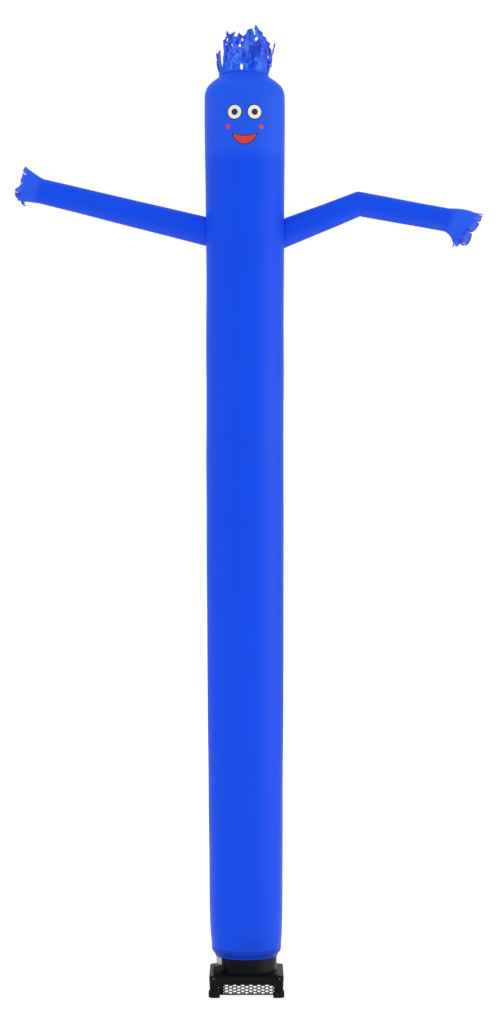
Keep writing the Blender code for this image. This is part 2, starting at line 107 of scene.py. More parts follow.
def noise_of(tree, vector, scale, detail=2.0, roughness=0.5):
    settings = {"Vector": vector, "Scale": scale, "Detail": detail, "Roughness": roughness}
    return node(tree, "ShaderNodeTexNoise", settings).outputs["Fac"]


def spread(tree, value, low, high, new_low, new_high):
    """Map a value from one range to another, held within it."""
    settings = dict(enumerate((value, low, high, new_low, new_high)))
    return node(tree, "ShaderNodeMapRange", settings).outputs[0]


def blend_colours(tree, share, first, second):
    made = node(tree, "ShaderNodeMix", {"Factor": share}, data_type="RGBA")
    sockets = [socket for socket in made.inputs if socket.type == "RGBA"]
    for colour, socket in zip((first, second), sockets):
        feed(tree, colour, socket)
    return [socket for socket in made.outputs if socket.type == "RGBA"][0]


def bump(tree, height, strength, distance, normal=None):
    settings = {"Height": height, "Strength": strength, "Distance": distance}
    if normal is not None:
        settings["Normal"] = normal
    return node(tree, "ShaderNodeBump", settings).outputs["Normal"]


def object_place(tree):
    return node(tree, "ShaderNodeTexCoord").outputs["Object"]


def tinted(colour, share):
    return tuple(min(1.0, channel * share) for channel in colour)


def cloth_weave(tree):
    """The height of a plain weave with a ripstop grid, from the places on the cloth."""
    places = node(tree, "ShaderNodeUVMap", uv_map=CLOTH_MAP).outputs["UV"]
    cloth = node(tree, "ShaderNodeSeparateXYZ", {0: places})
    threads = []
    grid = []
    for axis in ("X", "Y"):
        turn = calc(tree, "MULTIPLY", cloth.outputs[axis], 2 * math.pi / WEAVE_PITCH)
        threads.append(calc(tree, "SINE", turn))
        turn = calc(tree, "MULTIPLY", cloth.outputs[axis], 2 * math.pi / RIPSTOP_PITCH)
        crest = calc(tree, "MULTIPLY_ADD", calc(tree, "COSINE", turn), 0.5, 0.5)
        grid.append(calc(tree, "POWER", crest, 14.0))
    return calc(tree, "MULTIPLY_ADD", calc(tree, "MULTIPLY", *threads), 0.3, calc(tree, "MAXIMUM", *grid))


def nylon(name, colour, edge_colour, painted_highlight_colour, painted_shade_colour):
    """Thin coated nylon: a fine weave, a soft sheen, edges paled by wear and painted glow, and painted
    light and shade.
    """
    sheen = {"Specular IOR Level": 0.07, "Sheen Weight": 0.03, "Sheen Roughness": 0.45,
             "Sheen Tint": (0.60, 0.80, 1.0)}
    material, tree, shader = blank_material(name, colour, 0.46, sheen)
    place = object_place(tree)
    patches = noise_of(tree, place, 3.0, 3.0)
    cloth_colour = blend_colours(tree, patches, tinted(colour, 0.93), tinted(colour, 1.06))
    # Cut edges paled by wear and by painted light shining through the thin cloth.
    edge = node(tree, "ShaderNodeAttribute", attribute_name=PALE).outputs["Fac"]
    cloth_colour = blend_colours(tree, calc(tree, "MULTIPLY", edge, 0.75), cloth_colour, edge_colour)
    # Painted highlights and painted shade blend into the colour, as the painted light attribute says.
    painted_light = node(tree, "ShaderNodeAttribute", attribute_name=PAINTED_LIGHT).outputs["Fac"]
    for end, end_colour in ((1.0, painted_highlight_colour), (-1.0, painted_shade_colour)):
        share = spread(tree, painted_light, 0.0, end, 0.0, 1.0)
        cloth_colour = blend_colours(tree, share, cloth_colour, end_colour)
    feed(tree, cloth_colour, shader.inputs["Base Color"])
    feed(tree, spread(tree, patches, 0.3, 0.7, 0.41, 0.50), shader.inputs["Roughness"])
    fine = bump(tree, cloth_weave(tree), 0.22, 0.00012)
    ripples = noise_of(tree, place, 38.0, 4.0, 0.55)
    feed(tree, bump(tree, ripples, 0.10, 0.0020, fine), shader.inputs["Normal"])
    return material


def worn(name, colours, roughness, pattern, share=(0, 1, 0, 1), dull=None, grain=None,
         relief=(0.2, 0.0004), plain=None):
    """A worn surface: a noise pattern blends two colours and dulls the gloss over a fine grain.

    pattern and grain are noise settings, and without a grain the pattern gives the relief,
    which has a strength and a depth. share and dull map the pattern, as spread does, to the
    blend of the colours and to the roughness.
    """
    material, tree, shader = blank_material(name, colours[0], roughness, plain)
    place = object_place(tree)
    wear = noise_of(tree, place, *pattern)
    feed(tree, blend_colours(tree, spread(tree, wear, *share), *colours), shader.inputs["Base Color"])
    if dull is not None:
        feed(tree, spread(tree, wear, *dull), shader.inputs["Roughness"])
    height = wear if grain is None else noise_of(tree, place, *grain)
    feed(tree, bump(tree, height, *relief), shader.inputs["Normal"])
    return material


def ink(name, colour):
    """Screen ink on the cloth: smoother than the nylon, with its weave showing through."""
    return worn(name, (tinted(colour, 0.94), tinted(colour, 1.04)), 0.38, (60.0, 3.0),
                dull=(0.3, 0.7, 0.34, 0.42), grain=(700.0, 2.0), relief=(0.15, 0.0002))


def thread(name, colour):
    """Polyester sewing thread, twisted."""
    return worn(name, (tinted(colour, 0.7), tinted(colour, 1.25)), 0.55, (2400.0, 1.0),
                relief=(0.3, 0.0002), plain={"Sheen Weight": 0.3})


def coated_steel(name, colour, roughness, grain):
    """Black powder coat: orange peel, with a little dust."""
    return worn(name, (colour, (0.030, 0.029, 0.027)), roughness, (14.0, 6.0, 0.65),
                share=(0.48, 0.80, 0.0, 0.16), dull=(0.3, 0.75, roughness - 0.05, roughness + 0.14),
                grain=(grain, 2.0), relief=(0.35, 0.0004), plain={"Specular IOR Level": 0.06})


def paper(name, colour):
    """A stuck-on paper patch, a little yellowed and creased."""
    return worn(name, (tinted(colour, 0.75), colour), 0.6, (60.0, 5.0, 0.6))


def moulded(name, colour, roughness, grain, depth):
    """Moulded plastic or rubber: a fine grain and faint scuffs."""
    return worn(name, (colour, tinted(colour, 2.0)), roughness, (45.0, 5.0, 0.6),
                share=(0.5, 0.75, 0.0, 0.35), dull=(0.3, 0.7, roughness - 0.06, roughness + 0.08),
                grain=(grain, 2.0), relief=(0.30, depth), plain={"Specular IOR Level": 0.16})


def brushed(name, colour):
    """Steel with fine lines drawn across it."""
    material, tree, shader = blank_material(name, colour, 0.34, {"Metallic": 0.95})
    stretch = {"Vector": object_place(tree), "Scale": (200.0, 200.0, 2500.0)}
    lines = noise_of(tree, node(tree, "ShaderNodeMapping", stretch).outputs["Vector"], 1.0, 3.0)
    feed(tree, spread(tree, lines, 0.3, 0.7, 0.28, 0.45), shader.inputs["Roughness"])
    feed(tree, bump(tree, lines, 0.15, 0.0001), shader.inputs["Normal"])
    return material


# --------------------------------------------------------------- helpers

ROW_GROWTH = 0.13        # how fast rows grow apart, away from a spot where they are close


def smooth_curve(places, values):
    """A function through the values that never swings past them (a monotone cubic)."""
    steps = [after - before for before, after in zip(places, places[1:])]
    slopes = [(after - before) / step for before, after, step in zip(values, values[1:], steps)]
    tangents = [slopes[0]]
    for before, after in zip(slopes, slopes[1:]):
        tangents.append(2 * before * after / (before + after) if before * after > 0 else 0.0)
    tangents.append(slopes[-1])

    def value(place):
        index = max(0, min(bisect.bisect_right(places, place) - 1, len(steps) - 1))
        step = steps[index]
        share = (place - places[index]) / step
        square, cube = share ** 2, share ** 3
        level = values[index] + (3 * square - 2 * cube) * (values[index + 1] - values[index])
        leaving = (cube - 2 * square + share) * tangents[index]
        arriving = (cube - square) * tangents[index + 1]
        return level + (leaving + arriving) * step
    return value


def smoothstep(value):
    held = max(0.0, min(1.0, value))
    return held * held * (3 - 2 * held)


def fade(distance, reach):
    return math.exp(-max(0.0, distance) / reach)


def bell(distance, reach):
    return math.exp(-(distance / reach) ** 2)


def turns(count, shift=0.0):
    """Evenly spaced angles, once round."""
    return [2 * math.pi * (index + shift) / count for index in range(count)]


def around(centre, across, up, turn):
    """The point at an angle round an ellipse with these half axes."""
    return centre + across * math.cos(turn) + up * math.sin(turn)


def spaced(start, stop, spots, coarse):
    """Places from start to stop, close together near the spots, which are (place, step)."""
    places = [start]
    while places[-1] < stop:
        steps = [fine + ROW_GROWTH * abs(places[-1] - spot) for spot, fine in spots]
        places.append(places[-1] + min(steps + [coarse]))
    scale = (stop - start) / (places[-1] - start)
    return [start + (place - start) * scale for place in places]


def new_shape():
    """A bmesh with the cloth's UV map, its paleness and its painted light and shade."""
    shape = bmesh.new()
    shape.loops.layers.uv.new(CLOTH_MAP)
    shape.verts.layers.float.new(PALE)
    shape.verts.layers.float.new(PAINTED_LIGHT)
    return shape


def lay(shape, points, cloth, closed=False, first=None, wanted=None, split=None):
    """Quads through rows of points. cloth holds each corner's place on the cloth, in metres.

    A closed grid joins its last column to its first, and its cloth rows are one longer. first
    is a row of vertices to start from, and wanted says which points are kept. split says which
    way each quad is cut into two triangles, True for up to the right.
    """
    uv_map = shape.loops.layers.uv[CLOTH_MAP]
    rows = [] if first is None else [first]
    for row in points[len(rows):]:
        rows.append([shape.verts.new(point) if wanted is None or wanted(point) else None for point in row])
    count = len(points[0])
    for number in range(len(rows) - 1):
        for column in range(count if closed else count - 1):
            after = (column + 1) % count
            corners = (rows[number][column], rows[number][after],
                       rows[number + 1][after], rows[number + 1][column])
            if None in corners:
                continue
            places = (cloth[number][column], cloth[number][column + 1],
                      cloth[number + 1][column + 1], cloth[number + 1][column])
            parts = (range(4),)
            if split is not None:
                parts = ((0, 1, 2), (0, 2, 3)) if split(number, column) else ((0, 1, 3), (1, 2, 3))
            for part in parts:
                face = shape.faces.new([corners[corner] for corner in part])
                for loop, corner in zip(face.loops, part):
                    loop[uv_map].uv = places[corner]
    return rows


def loft(shape, rings, keep=None):
    """Quads between closed rings of points. keep(row, column) says which are wanted."""
    rows = [[shape.verts.new(point) for point in ring] for ring in rings]
    for number, (lower, upper) in enumerate(zip(rows, rows[1:])):
        for column in range(len(lower)):
            after = (column + 1) % len(lower)
            if keep is None or keep(number, column):
                shape.faces.new((lower[column], lower[after], upper[after], upper[column]))
    return rows


def cap(shape, rows):
    """Close the two ends of a loft."""
    shape.faces.new(reversed(rows[0]))
    shape.faces.new(rows[-1])


def add_object(name, data):
    made = bpy.data.objects.new(name, data)
    bpy.context.scene.collection.objects.link(made)
    return made


def add_mesh(name, shape, materials, smooth_angle=40.0):
    """Turn a bmesh into an object that rides on the dancer."""
    loose = [vertex for vertex in shape.verts if not vertex.link_faces]
    bmesh.ops.delete(shape, geom=loose, context="VERTS")
    mesh = bpy.data.meshes.new(name)
    shape.to_mesh(mesh)
    shape.free()
    mesh.shade_smooth()
    mesh.set_sharp_from_angle(angle=math.radians(smooth_angle))
    for material in materials:
        mesh.materials.append(material)
    made = add_object(name, mesh)
    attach(made, BODY)
    return made


def thicken(piece, thickness, offset=-1.0):
    """Give a sheet its thickness, with crisp edges."""
    solid = piece.modifiers.new("thickness", "SOLIDIFY")
    solid.thickness = thickness
    solid.offset = offset
    crisp = piece.modifiers.new("crisp_edges", "EDGE_SPLIT")
    crisp.split_angle = math.radians(60)


# ------------------------------------------------------------ the tube

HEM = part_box("body_tube")[0].z
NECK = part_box("body_tube")[1].z
FOLD = 0.259             # where the hem turns under
SHOULDER = 5.400
TUBE_MEAN = 0.230        # the radius that the cloth's width is measured at
Section = namedtuple("Section", "height radius drift")   # drift: the tube leans towards -X
SECTIONS = [Section(*row) for row in (
    (HEM, 0.1832, 0.000),        # hem edge, tight on the drum
    (0.2210, 0.1866, 0.000),     # the bead of the drawn hem
    (0.2250, 0.1872, 0.000),
    (0.2290, 0.1866, 0.000),
    (0.236, 0.1925, 0.000),
    (0.247, 0.2010, 0.000),
    (FOLD, 0.2050, 0.000),
    (0.300, 0.2085, 0.000),
    (0.366, 0.2140, -0.001),
    (0.546, 0.2184, -0.002),
    (1.146, 0.2226, -0.004),
    (1.746, 0.2267, -0.006),
    (2.346, 0.2300, -0.008),
    (3.546, 0.2320, -0.009),
    (4.326, 0.2330, -0.009),
    (4.806, 0.2368, -0.010),
    (5.166, 0.2404, -0.011),
    (5.310, 0.2414, -0.011),     # the head, at its fullest
    (5.372, 0.2404, -0.011),
    (5.394, 0.2355, -0.011),
    (5.412, 0.2285, -0.012),
    (5.430, 0.2150, -0.012),
    (5.448, 0.1945, -0.013),
    (5.466, 0.1695, -0.014),
    (5.479, 0.1510, -0.015),
    (NECK, 0.1470, -0.016),      # the open neck
)]
COARSE_ROW = 0.030                    # the cloth's rows and columns where nothing happens
FAR_COLUMNS = 124
SEARCH_REACH = 0.45                   # how far along a line the wall is looked for
SEARCH_STEPS = 34
SEAM_ANGLE = math.pi / 2              # the long seam runs up the back
SEAM_OFFSETS = (0.0, 0.0012, 0.0030, 0.0055, 0.0085, 0.013, 0.020)   # columns beside it
SEAM_RIDGE = 0.0009                   # the felled seam stands this proud
SEAM_HALF = 0.0060
SEAM_CREASE = 0.0011
SEAM_PUCKER = 0.0007
PUCKER_PITCH = 0.034
PUCKER_REACH = 0.022
SWELL = 0.0020                        # broad unevenness of the blown cloth
SWELL_SIZE = 0.40

# Gathers where cloth is sewn on or drawn in: how many pleats go round, how deep they are, how
# far they reach, how deep and how far the seam itself is pinched in, and a seed.
Gather = namedtuple("Gather", "pleats depth reach pinch pinch_reach seed")
HEM_GATHER = Gather(44, 0.0024, 0.060, 0.0, 1.0, 1.0)
NECK_GATHER = Gather(34, 0.0022, 0.050, 0.0, 1.0, 2.0)
ROOT_GATHER = Gather(15, 0.0018, 0.040, 0.0012, 0.010, 3.0)      # on the tube, round an arm
ARM_GATHER = Gather(15, 0.0018, 0.040, 0.0022, 0.008, 7.0)       # and on the arm there
WRIST_GATHER = Gather(13, 0.0008, 0.030, 0.0005, 0.006, 10.0)
ELBOW_GATHER = Gather(11, 0.0011, 0.030, 0.0, 1.0, 12.0)

# Painted shade and painted highlights on the tube's cloth, where each starts and how softly it does.
HEM_SHADE = -0.72         # painted shade on the drum, where no light comes through
HEM_SHADE_TOP = FOLD + 0.022
HEM_SHADE_SOFT = 0.012
EDGE_HIGHLIGHT = 0.25         # a painted highlight on the hem's lower edge
EDGE_HEIGHT = 0.004
SAG_SHADE = -0.30         # painted shade on the slack cloth in front, above the fold
SAG_MIDDLE = 0.035
SAG_HALF = 0.05
SAG_REACH = 0.035
SAG_TOP = FOLD + 0.05
SAG_FADE = 0.05
FRONT_SOFT = 0.1
# A painted highlight over the head, above its line.
HEAD_HIGHLIGHT = 0.14
HEAD_LINE = 4.95
HEAD_SOFT = 0.10

ARM_BACK = 0.055         # the arms are sewn on a little behind the body's middle
ROOT_DEPTH = 0.16        # from an arm's root in towards the tube's middle
ROOT_INSIDE = 0.03       # how far inside and outside an arm's wall the tube is gathered
ROOT_OUTSIDE = 0.25
TURNED_IN = 0.007        # the tube's cloth reaches this far in under an arm's edge
ARMHOLE_LAP = 0.003      # how much cloth is kept inside an arm's wall before that
ARMHOLE_REACH = 0.05     # a vertex nearer than this to an arm is on its armhole
ARMS = {                 # an arm's stations: x, z and radius
    "left": ((-0.243, 4.563, 0.0850), (-0.560, 4.641, 0.0815), (-0.900, 4.724, 0.0770),
             (-1.232, 4.805, 0.0740)),
    "right": ((0.231, 4.554, 0.0835), (0.450, 4.640, 0.0775), (0.676, 4.729, 0.0728),
              (0.940, 4.681, 0.0712), (1.203, 4.634, 0.0705)),
}

section_heights = [section.height for section in SECTIONS]
tube_radius = smooth_curve(section_heights, [section.radius for section in SECTIONS])
tube_drift = smooth_curve(section_heights, [section.drift for section in SECTIONS])


def upward(ahead):
    """Square to the direction ahead, up, in the plane that the arms lie in."""
    up = ahead.cross(Y_AXIS)
    return up * math.copysign(1, up.z)


class ArmRoot:
    """Where an arm is sewn on: its middle line, and the ring in which it meets the tube."""

    def __init__(self, stations, seed):
        self.points = [Vector((x, ARM_BACK, z)) for x, z, _ in stations]
        self.radii = [radius for _, _, radius in stations]
        self.seed = seed
        self.outward = (self.points[1] - self.points[0]).normalized()
        self.up = upward(self.outward)
        self.across = self.up.cross(self.outward)

    def polar(self, point):
        """Distance outside the arm's wall and the angle round it, or None on the far side."""
        offset = point - self.points[0]
        if offset.dot(self.outward) < -ROOT_DEPTH:
            return None
        side = offset.dot(self.across)
        rise = offset.dot(self.up)
        return math.hypot(side, rise) - self.radii[0], math.atan2(rise, side)

    def ring_start(self, turn, inset=0.0):
        """A point inside the tube, on the arm's wall or inset from it."""
        middle = self.points[0] - self.outward * ROOT_DEPTH
        radius = self.radii[0] - inset
        return around(middle, self.across * radius, self.up * radius, turn)


roots = {side: ArmRoot(stations, seed) for seed, (side, stations) in enumerate(ARMS.items())}


def smooth_wall(angle, height):
    radius = tube_radius(height)
    return Vector((tube_drift(height) + radius * math.cos(angle), radius * math.sin(angle), height))


def wall_normal(angle, height):
    reach = 0.002
    rise = (tube_radius(height + reach) - tube_radius(height - reach)) / (2 * reach)
    return Vector((math.cos(angle), math.sin(angle), -rise)).normalized()


def ring_noise(angle, size, seed):
    return noise.noise(Vector((math.cos(angle) * size, math.sin(angle) * size, seed)))


def pleats(angle, count, seed):
    """A ring of uneven folds, from about -1 to 1."""
    wander = ring_noise(angle, 2.6, seed) * 3.0
    size = 0.70 + 0.75 * ring_noise(angle, 4.1, seed + 9.0)
    return math.sin(count * angle + wander) * size


def gathered(gather, angle, distance, seed=0.0):
    """Relief at a distance from a gather, with its pleats and its pinched seam."""
    folds = gather.depth * pleats(angle, gather.pleats, gather.seed + seed)
    return folds * fade(distance, gather.reach) - gather.pinch * fade(abs(distance), gather.pinch_reach)


def root_relief(point):
    total = 0.0
    for root in roots.values():
        distance, angle = root.polar(point) or (math.inf, 0.0)
        if -ROOT_INSIDE <= distance <= ROOT_OUTSIDE:
            total += gathered(ROOT_GATHER, angle, distance, root.seed)
    return total


def seam_relief(across, along, seed):
    """The raised band of a felled seam and the small puckers beside it."""
    band = SEAM_RIDGE * smoothstep((SEAM_HALF * 1.3 - abs(across)) / (SEAM_HALF * 0.5))
    wander = noise.noise(Vector((seed, 0.0, along * 6.0))) * 4.0
    pucker = SEAM_PUCKER * math.sin(2 * math.pi * along / PUCKER_PITCH + wander)
    return band - SEAM_RIDGE * bell(across, SEAM_CREASE) + pucker * fade(abs(across), PUCKER_REACH)


def tube_relief(angle, height):
    """How far the cloth stands out of its smooth form."""
    above = height - FOLD
    point = smooth_wall(angle, height)
    swell = SWELL * noise.noise(point / SWELL_SIZE + Vector((3.0, 7.0, 1.0)))
    swell *= smoothstep(above / 0.15) * smoothstep((NECK - height) / 0.10)
    fullness = HEM_GATHER.depth * fade(above, HEM_GATHER.reach)
    hem = 0.5 * (fullness + gathered(HEM_GATHER, angle, above))
    hem *= 0.35 + 0.65 * smoothstep((height - HEM - 0.006) / 0.012)
    neck = gathered(NECK_GATHER, angle, NECK - height)
    across = TUBE_MEAN * math.remainder(angle - SEAM_ANGLE, 2 * math.pi)
    seam = seam_relief(across, height, 5.0) * smoothstep(above / 0.03)
    return swell + hem + neck + seam + root_relief(point)


def wall(angle, height, outset=0.0):
    """A point of the tube's outer face, with its folds."""
    relief = tube_relief(angle, height) + outset
    return smooth_wall(angle, height) + wall_normal(angle, height) * relief


def wall_hit(start, direction, outset=0.0):
    """Where a line from inside the tube leaves it: the angle and the height there."""
    near, far = 0.0, SEARCH_REACH
    for _ in range(SEARCH_STEPS):
        middle = (near + far) / 2
        point = start + direction * middle
        beyond = math.hypot(point.x - tube_drift(point.z), point.y) > tube_radius(point.z) + outset
        near, far = (near, middle) if beyond else (middle, far)
    point = start + direction * far
    return math.atan2(point.y, point.x - tube_drift(point.z)), point.z


def tube_angles():
    """Angles of the cloth's columns, once round from the back seam."""
    near = [offset / TUBE_MEAN for offset in SEAM_OFFSETS]
    start, stop = near[-1], 2 * math.pi - near[-1]
    far = [start + (stop - start) * index / FAR_COLUMNS for index in range(1, FAR_COLUMNS)]
    back = [2 * math.pi - offset for offset in reversed(near[1:])]
    return [SEAM_ANGLE + turn for turn in near + far + back]


def outside_armholes(point):
    places = [root.polar(point) for root in roots.values()]
    return all(place is None or place[0] >= -ARMHOLE_LAP for place in places)


def shade_tube(shape):
    """Painted shade under the fold and in the sag above it, and painted highlights at the hem's edge and
    on the head.
    """
    painted_light = shape.verts.layers.float[PAINTED_LIGHT]
    for vertex in shape.verts:
        x, y, z = vertex.co
        under = HEM_SHADE * smoothstep((HEM_SHADE_TOP - z) / HEM_SHADE_SOFT)
        sag = SAG_SHADE * smoothstep(-y / FRONT_SOFT)
        sag *= fade(abs(x - SAG_MIDDLE) - SAG_HALF, SAG_REACH) * fade(z - SAG_TOP, SAG_FADE)
        edge = smoothstep((HEM + EDGE_HEIGHT - z) / EDGE_HEIGHT)
        head = HEAD_HIGHLIGHT * smoothstep((z - HEAD_LINE) / HEAD_SOFT)
        vertex[painted_light] = min(under, sag) * (1 - edge) + EDGE_HIGHLIGHT * edge + head


def trim_armholes(shape):
    """Move the vertices round each armhole onto its ring, so that the hole is smooth."""
    border = {vertex for edge in shape.edges if edge.is_boundary for vertex in edge.verts}
    for vertex in border:
        if not FOLD <= vertex.co.z <= SHOULDER:
            continue
        for root in roots.values():
            distance, angle = root.polar(vertex.co) or (math.inf, 0.0)
            if distance <= ARMHOLE_REACH:
                vertex.co = wall(*wall_hit(root.ring_start(angle, TURNED_IN), root.outward))


def build_tube(material):
    spots = [(HEM, 0.0018), (FOLD, 0.004), (SHOULDER, 0.0060), (NECK, 0.0045)]
    spots += [(root.points[0].z, 0.010) for root in roots.values()]
    levels = spaced(HEM, NECK, spots, COARSE_ROW)
    angles = tube_angles()
    points = [[wall(angle, level) for angle in angles] for level in levels]
    widths = [(angle - SEAM_ANGLE) * TUBE_MEAN for angle in angles] + [2 * math.pi * TUBE_MEAN]
    cloth = [[(width, level) for width in widths] for level in levels]
    shape = new_shape()
    lay(shape, points, cloth, closed=True, wanted=outside_armholes)
    shade_tube(shape)
    trim_armholes(shape)
    tube = add_mesh("tube_cloth", shape, [material], 60.0)
    thicken(tube, CLOTH)
    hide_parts("body_tube")
    return tube


# ------------------------------------------------------------ the arms

ARM_COLUMNS = 64
ARM_ROW = 0.016
ARM_END_ROW = 0.0035
ELBOW_ROW = 0.0025
ELBOW_ANGLE = 0.2        # a bend of the middle line sharper than this is an elbow
ELBOW_CREASE = 0.0014
ELBOW_CREASE_HALF = 0.0035
ARM_SWELL = 0.0010


def key_rings(root):
    """Rings of points: on the tube's wall, at each station, and mitred at an elbow."""
    angles = turns(ARM_COLUMNS)
    places = [wall_hit(root.ring_start(turn), root.outward, GAP) for turn in angles]
    rings = [[wall(angle, height, GAP) for angle, height in places]]
    ways = [(after - before).normalized() for before, after in zip(root.points, root.points[1:])]
    for centre, radius, before, after in zip(root.points[1:], root.radii[1:], ways, ways[1:] + ways[-1:]):
        ahead = (before + after).normalized()
        up = upward(ahead)
        across = up.cross(ahead) * radius
        tall = up * radius / math.cos(before.angle(after) / 2)
        rings.append([around(centre, across, tall, turn) for turn in angles])
    return rings


class Arm:
    """One arm's cloth: rings of points, and the lengths along its middle line."""

    def __init__(self, root):
        self.root = root
        self.rings = key_rings(root)
        self.middles = [sum(ring, Vector()) / len(ring) for ring in self.rings]
        self.lengths = [0.0]
        for before, after in zip(self.middles, self.middles[1:]):
            self.lengths.append(self.lengths[-1] + (after - before).length)
        self.elbow = self.find_elbow()

    def find_elbow(self):
        points = self.root.points
        for index in range(1, len(points) - 1):
            before = points[index] - points[index - 1]
            if before.angle(points[index + 1] - points[index]) > ELBOW_ANGLE:
                return self.lengths[index]
        return None

    def relief(self, turn, along, radius):
        """Puckers at the root and the wrist, the elbow's seam, and the long seam below."""
        seed = self.root.seed
        left = self.lengths[-1] - along
        place = Vector((math.cos(turn), math.sin(turn), along * 3.0 + (seed + 4) * 7.0))
        relief = ARM_SWELL * noise.noise(place * 1.1)
        relief += gathered(ARM_GATHER, turn, along, seed) + gathered(WRIST_GATHER, turn, left, seed)
        if self.elbow is not None:
            beside = abs(along - self.elbow)
            relief += gathered(ELBOW_GATHER, turn, beside, seed)
            relief -= ELBOW_CREASE * bell(beside, ELBOW_CREASE_HALF)
        across = radius * math.remainder(turn + math.pi / 2, 2 * math.pi)
        ends = smoothstep(along / 0.03) * smoothstep(left / 0.02)
        return relief + seam_relief(across, along, seed + 15.0) * ends

    def end_relief(self, turn):
        return self.relief(turn, self.lengths[-1], self.root.radii[-1])

    def row(self, along):
        """The ring of points at a length along the arm, with its folds."""
        lengths = self.lengths
        index = max(0, min(bisect.bisect_right(lengths, along) - 1, len(lengths) - 2))
        share = (along - lengths[index]) / (lengths[index + 1] - lengths[index])
        middle, next_middle = self.middles[index:index + 2]
        centre = middle.lerp(next_middle, share)
        axis = (next_middle - middle).normalized()
        low, high = self.root.radii[index:index + 2]
        points = []
        for turn, start, end in zip(turns(ARM_COLUMNS), self.rings[index], self.rings[index + 1]):
            point = start.lerp(end, share)
            outward = point - centre
            outward = (outward - axis * outward.dot(axis)).normalized()
            points.append(point + outward * self.relief(turn, along, low + (high - low) * share))
        return points

    def rows(self):
        """Lengths along the arm for its rows, close together at its ends and its elbow."""
        total = self.lengths[-1]
        spots = [(0.0, ARM_END_ROW), (total, ARM_END_ROW)]
        if self.elbow is not None:
            spots.append((self.elbow, ELBOW_ROW))
        return spaced(0.0, total, spots, ARM_ROW)


arms = {side: Arm(root) for side, root in roots.items()}


def build_arm(side, material):
    placed = arms[side].rows()
    girth = 2 * math.pi * roots[side].radii[0]
    columns = [girth * column / ARM_COLUMNS for column in range(ARM_COLUMNS + 1)]
    shape = new_shape()
    points = [arms[side].row(along) for along in placed]
    lay(shape, points, [[(across, along) for across in columns] for along in placed], closed=True)
    made = add_mesh("arm_cloth_" + side, shape, [material], 60.0)
    thicken(made, CLOTH)
    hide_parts("arm_" + side)


# ------------------------------------------------------ cuffs and hair

# Each cut strip has the columns: how far its tip leans outwards, its sideways swing in strip
# widths, its twist in degrees, how crumpled it is, and how far along the stem five places
# across its end reach (1 is the full length).
Strip = namedtuple("Strip", "lean swing twist crumpled ends")
Cuff = namedtuple("Cuff", "mouth mouth_up half_height half_depth strips")
LEFT_STRIPS = (          # from the front, over the top, to the back
    Strip(0.002, -0.06, 2, 0.6, (1.09, 1.13, 1.12, 1.12, 1.16)),
    Strip(0.003, 0.06, 2, 0.6, (1.13, 1.17, 1.16, 1.15, 1.15)),
    Strip(0.004, 0.00, 3, 0.6, (1.14, 1.15, 1.16, 1.12, 1.10)),
    Strip(0.002, -0.18, -3, 0.6, (1.06, 1.12, 1.14, 1.11, 1.09)),
    Strip(0.000, -0.05, 8, 0.8, (1.13, 1.11, 1.08, 1.10, 1.07)),
    Strip(0.000, 0.00, -8, 0.6, (1.06, 1.09, 1.12, 1.14, 1.18)),
    Strip(0.004, 0.06, 10, 0.9, (1.06, 1.10, 1.09, 1.05, 1.03)),
    Strip(0.013, 0.00, -40, 2.2, (0.66, 0.58, 0.72, 0.62, 0.70)),
    Strip(0.006, 0.00, 5, 2.2, (0.97, 1.10, 1.20, 1.18, 1.24)),
    Strip(0.004, 0.00, -2, 0.9, (1.24, 1.24, 1.14, 1.08, 1.06)),
)
RIGHT_STRIPS = (         # from the back, over the top, to the front
    Strip(0.000, 0.18, 4, 0.6, (1.20, 1.18, 1.16, 1.18, 1.15)),
    Strip(0.006, 0.00, -4, 0.6, (1.08, 1.08, 1.10, 1.07, 1.06)),
    Strip(0.017, 0.00, -3, 0.6, (1.02, 1.04, 1.05, 1.07, 1.08)),
    Strip(0.008, 0.00, -2, 0.6, (1.08, 1.10, 1.12, 1.15, 1.14)),
    Strip(0.004, -0.06, 2, 0.6, (1.17, 1.21, 1.23, 1.24, 1.23)),
    Strip(0.004, 0.06, -2, 0.8, (1.27, 1.36, 1.44, 1.48, 1.48)),
    Strip(0.008, 0.00, 8, 2.2, (1.46, 1.38, 1.24, 1.16, 1.02)),
    Strip(0.012, 0.00, 40, 2.2, (0.98, 1.08, 0.96, 1.04, 0.94)),
    Strip(0.004, 0.00, 12, 0.9, (1.16, 1.22, 1.20, 1.21, 1.18)),
    Strip(0.000, 0.05, -6, 0.6, (1.26, 1.30, 1.31, 1.34, 1.30)),
)
CUFFS = {
    "left": Cuff(mouth=Vector((-1.346, ARM_BACK, 4.846)), mouth_up=Vector((0.290, 0.0, 0.957)),
                 half_height=0.102, half_depth=0.048, strips=LEFT_STRIPS),
    "right": Cuff(mouth=Vector((1.327, ARM_BACK, 4.573)), mouth_up=Vector((0.647, 0.0, 0.762)),
                  half_height=0.120, half_depth=0.050, strips=RIGHT_STRIPS),
}
CUFF_FLARE_POWER = 1.2
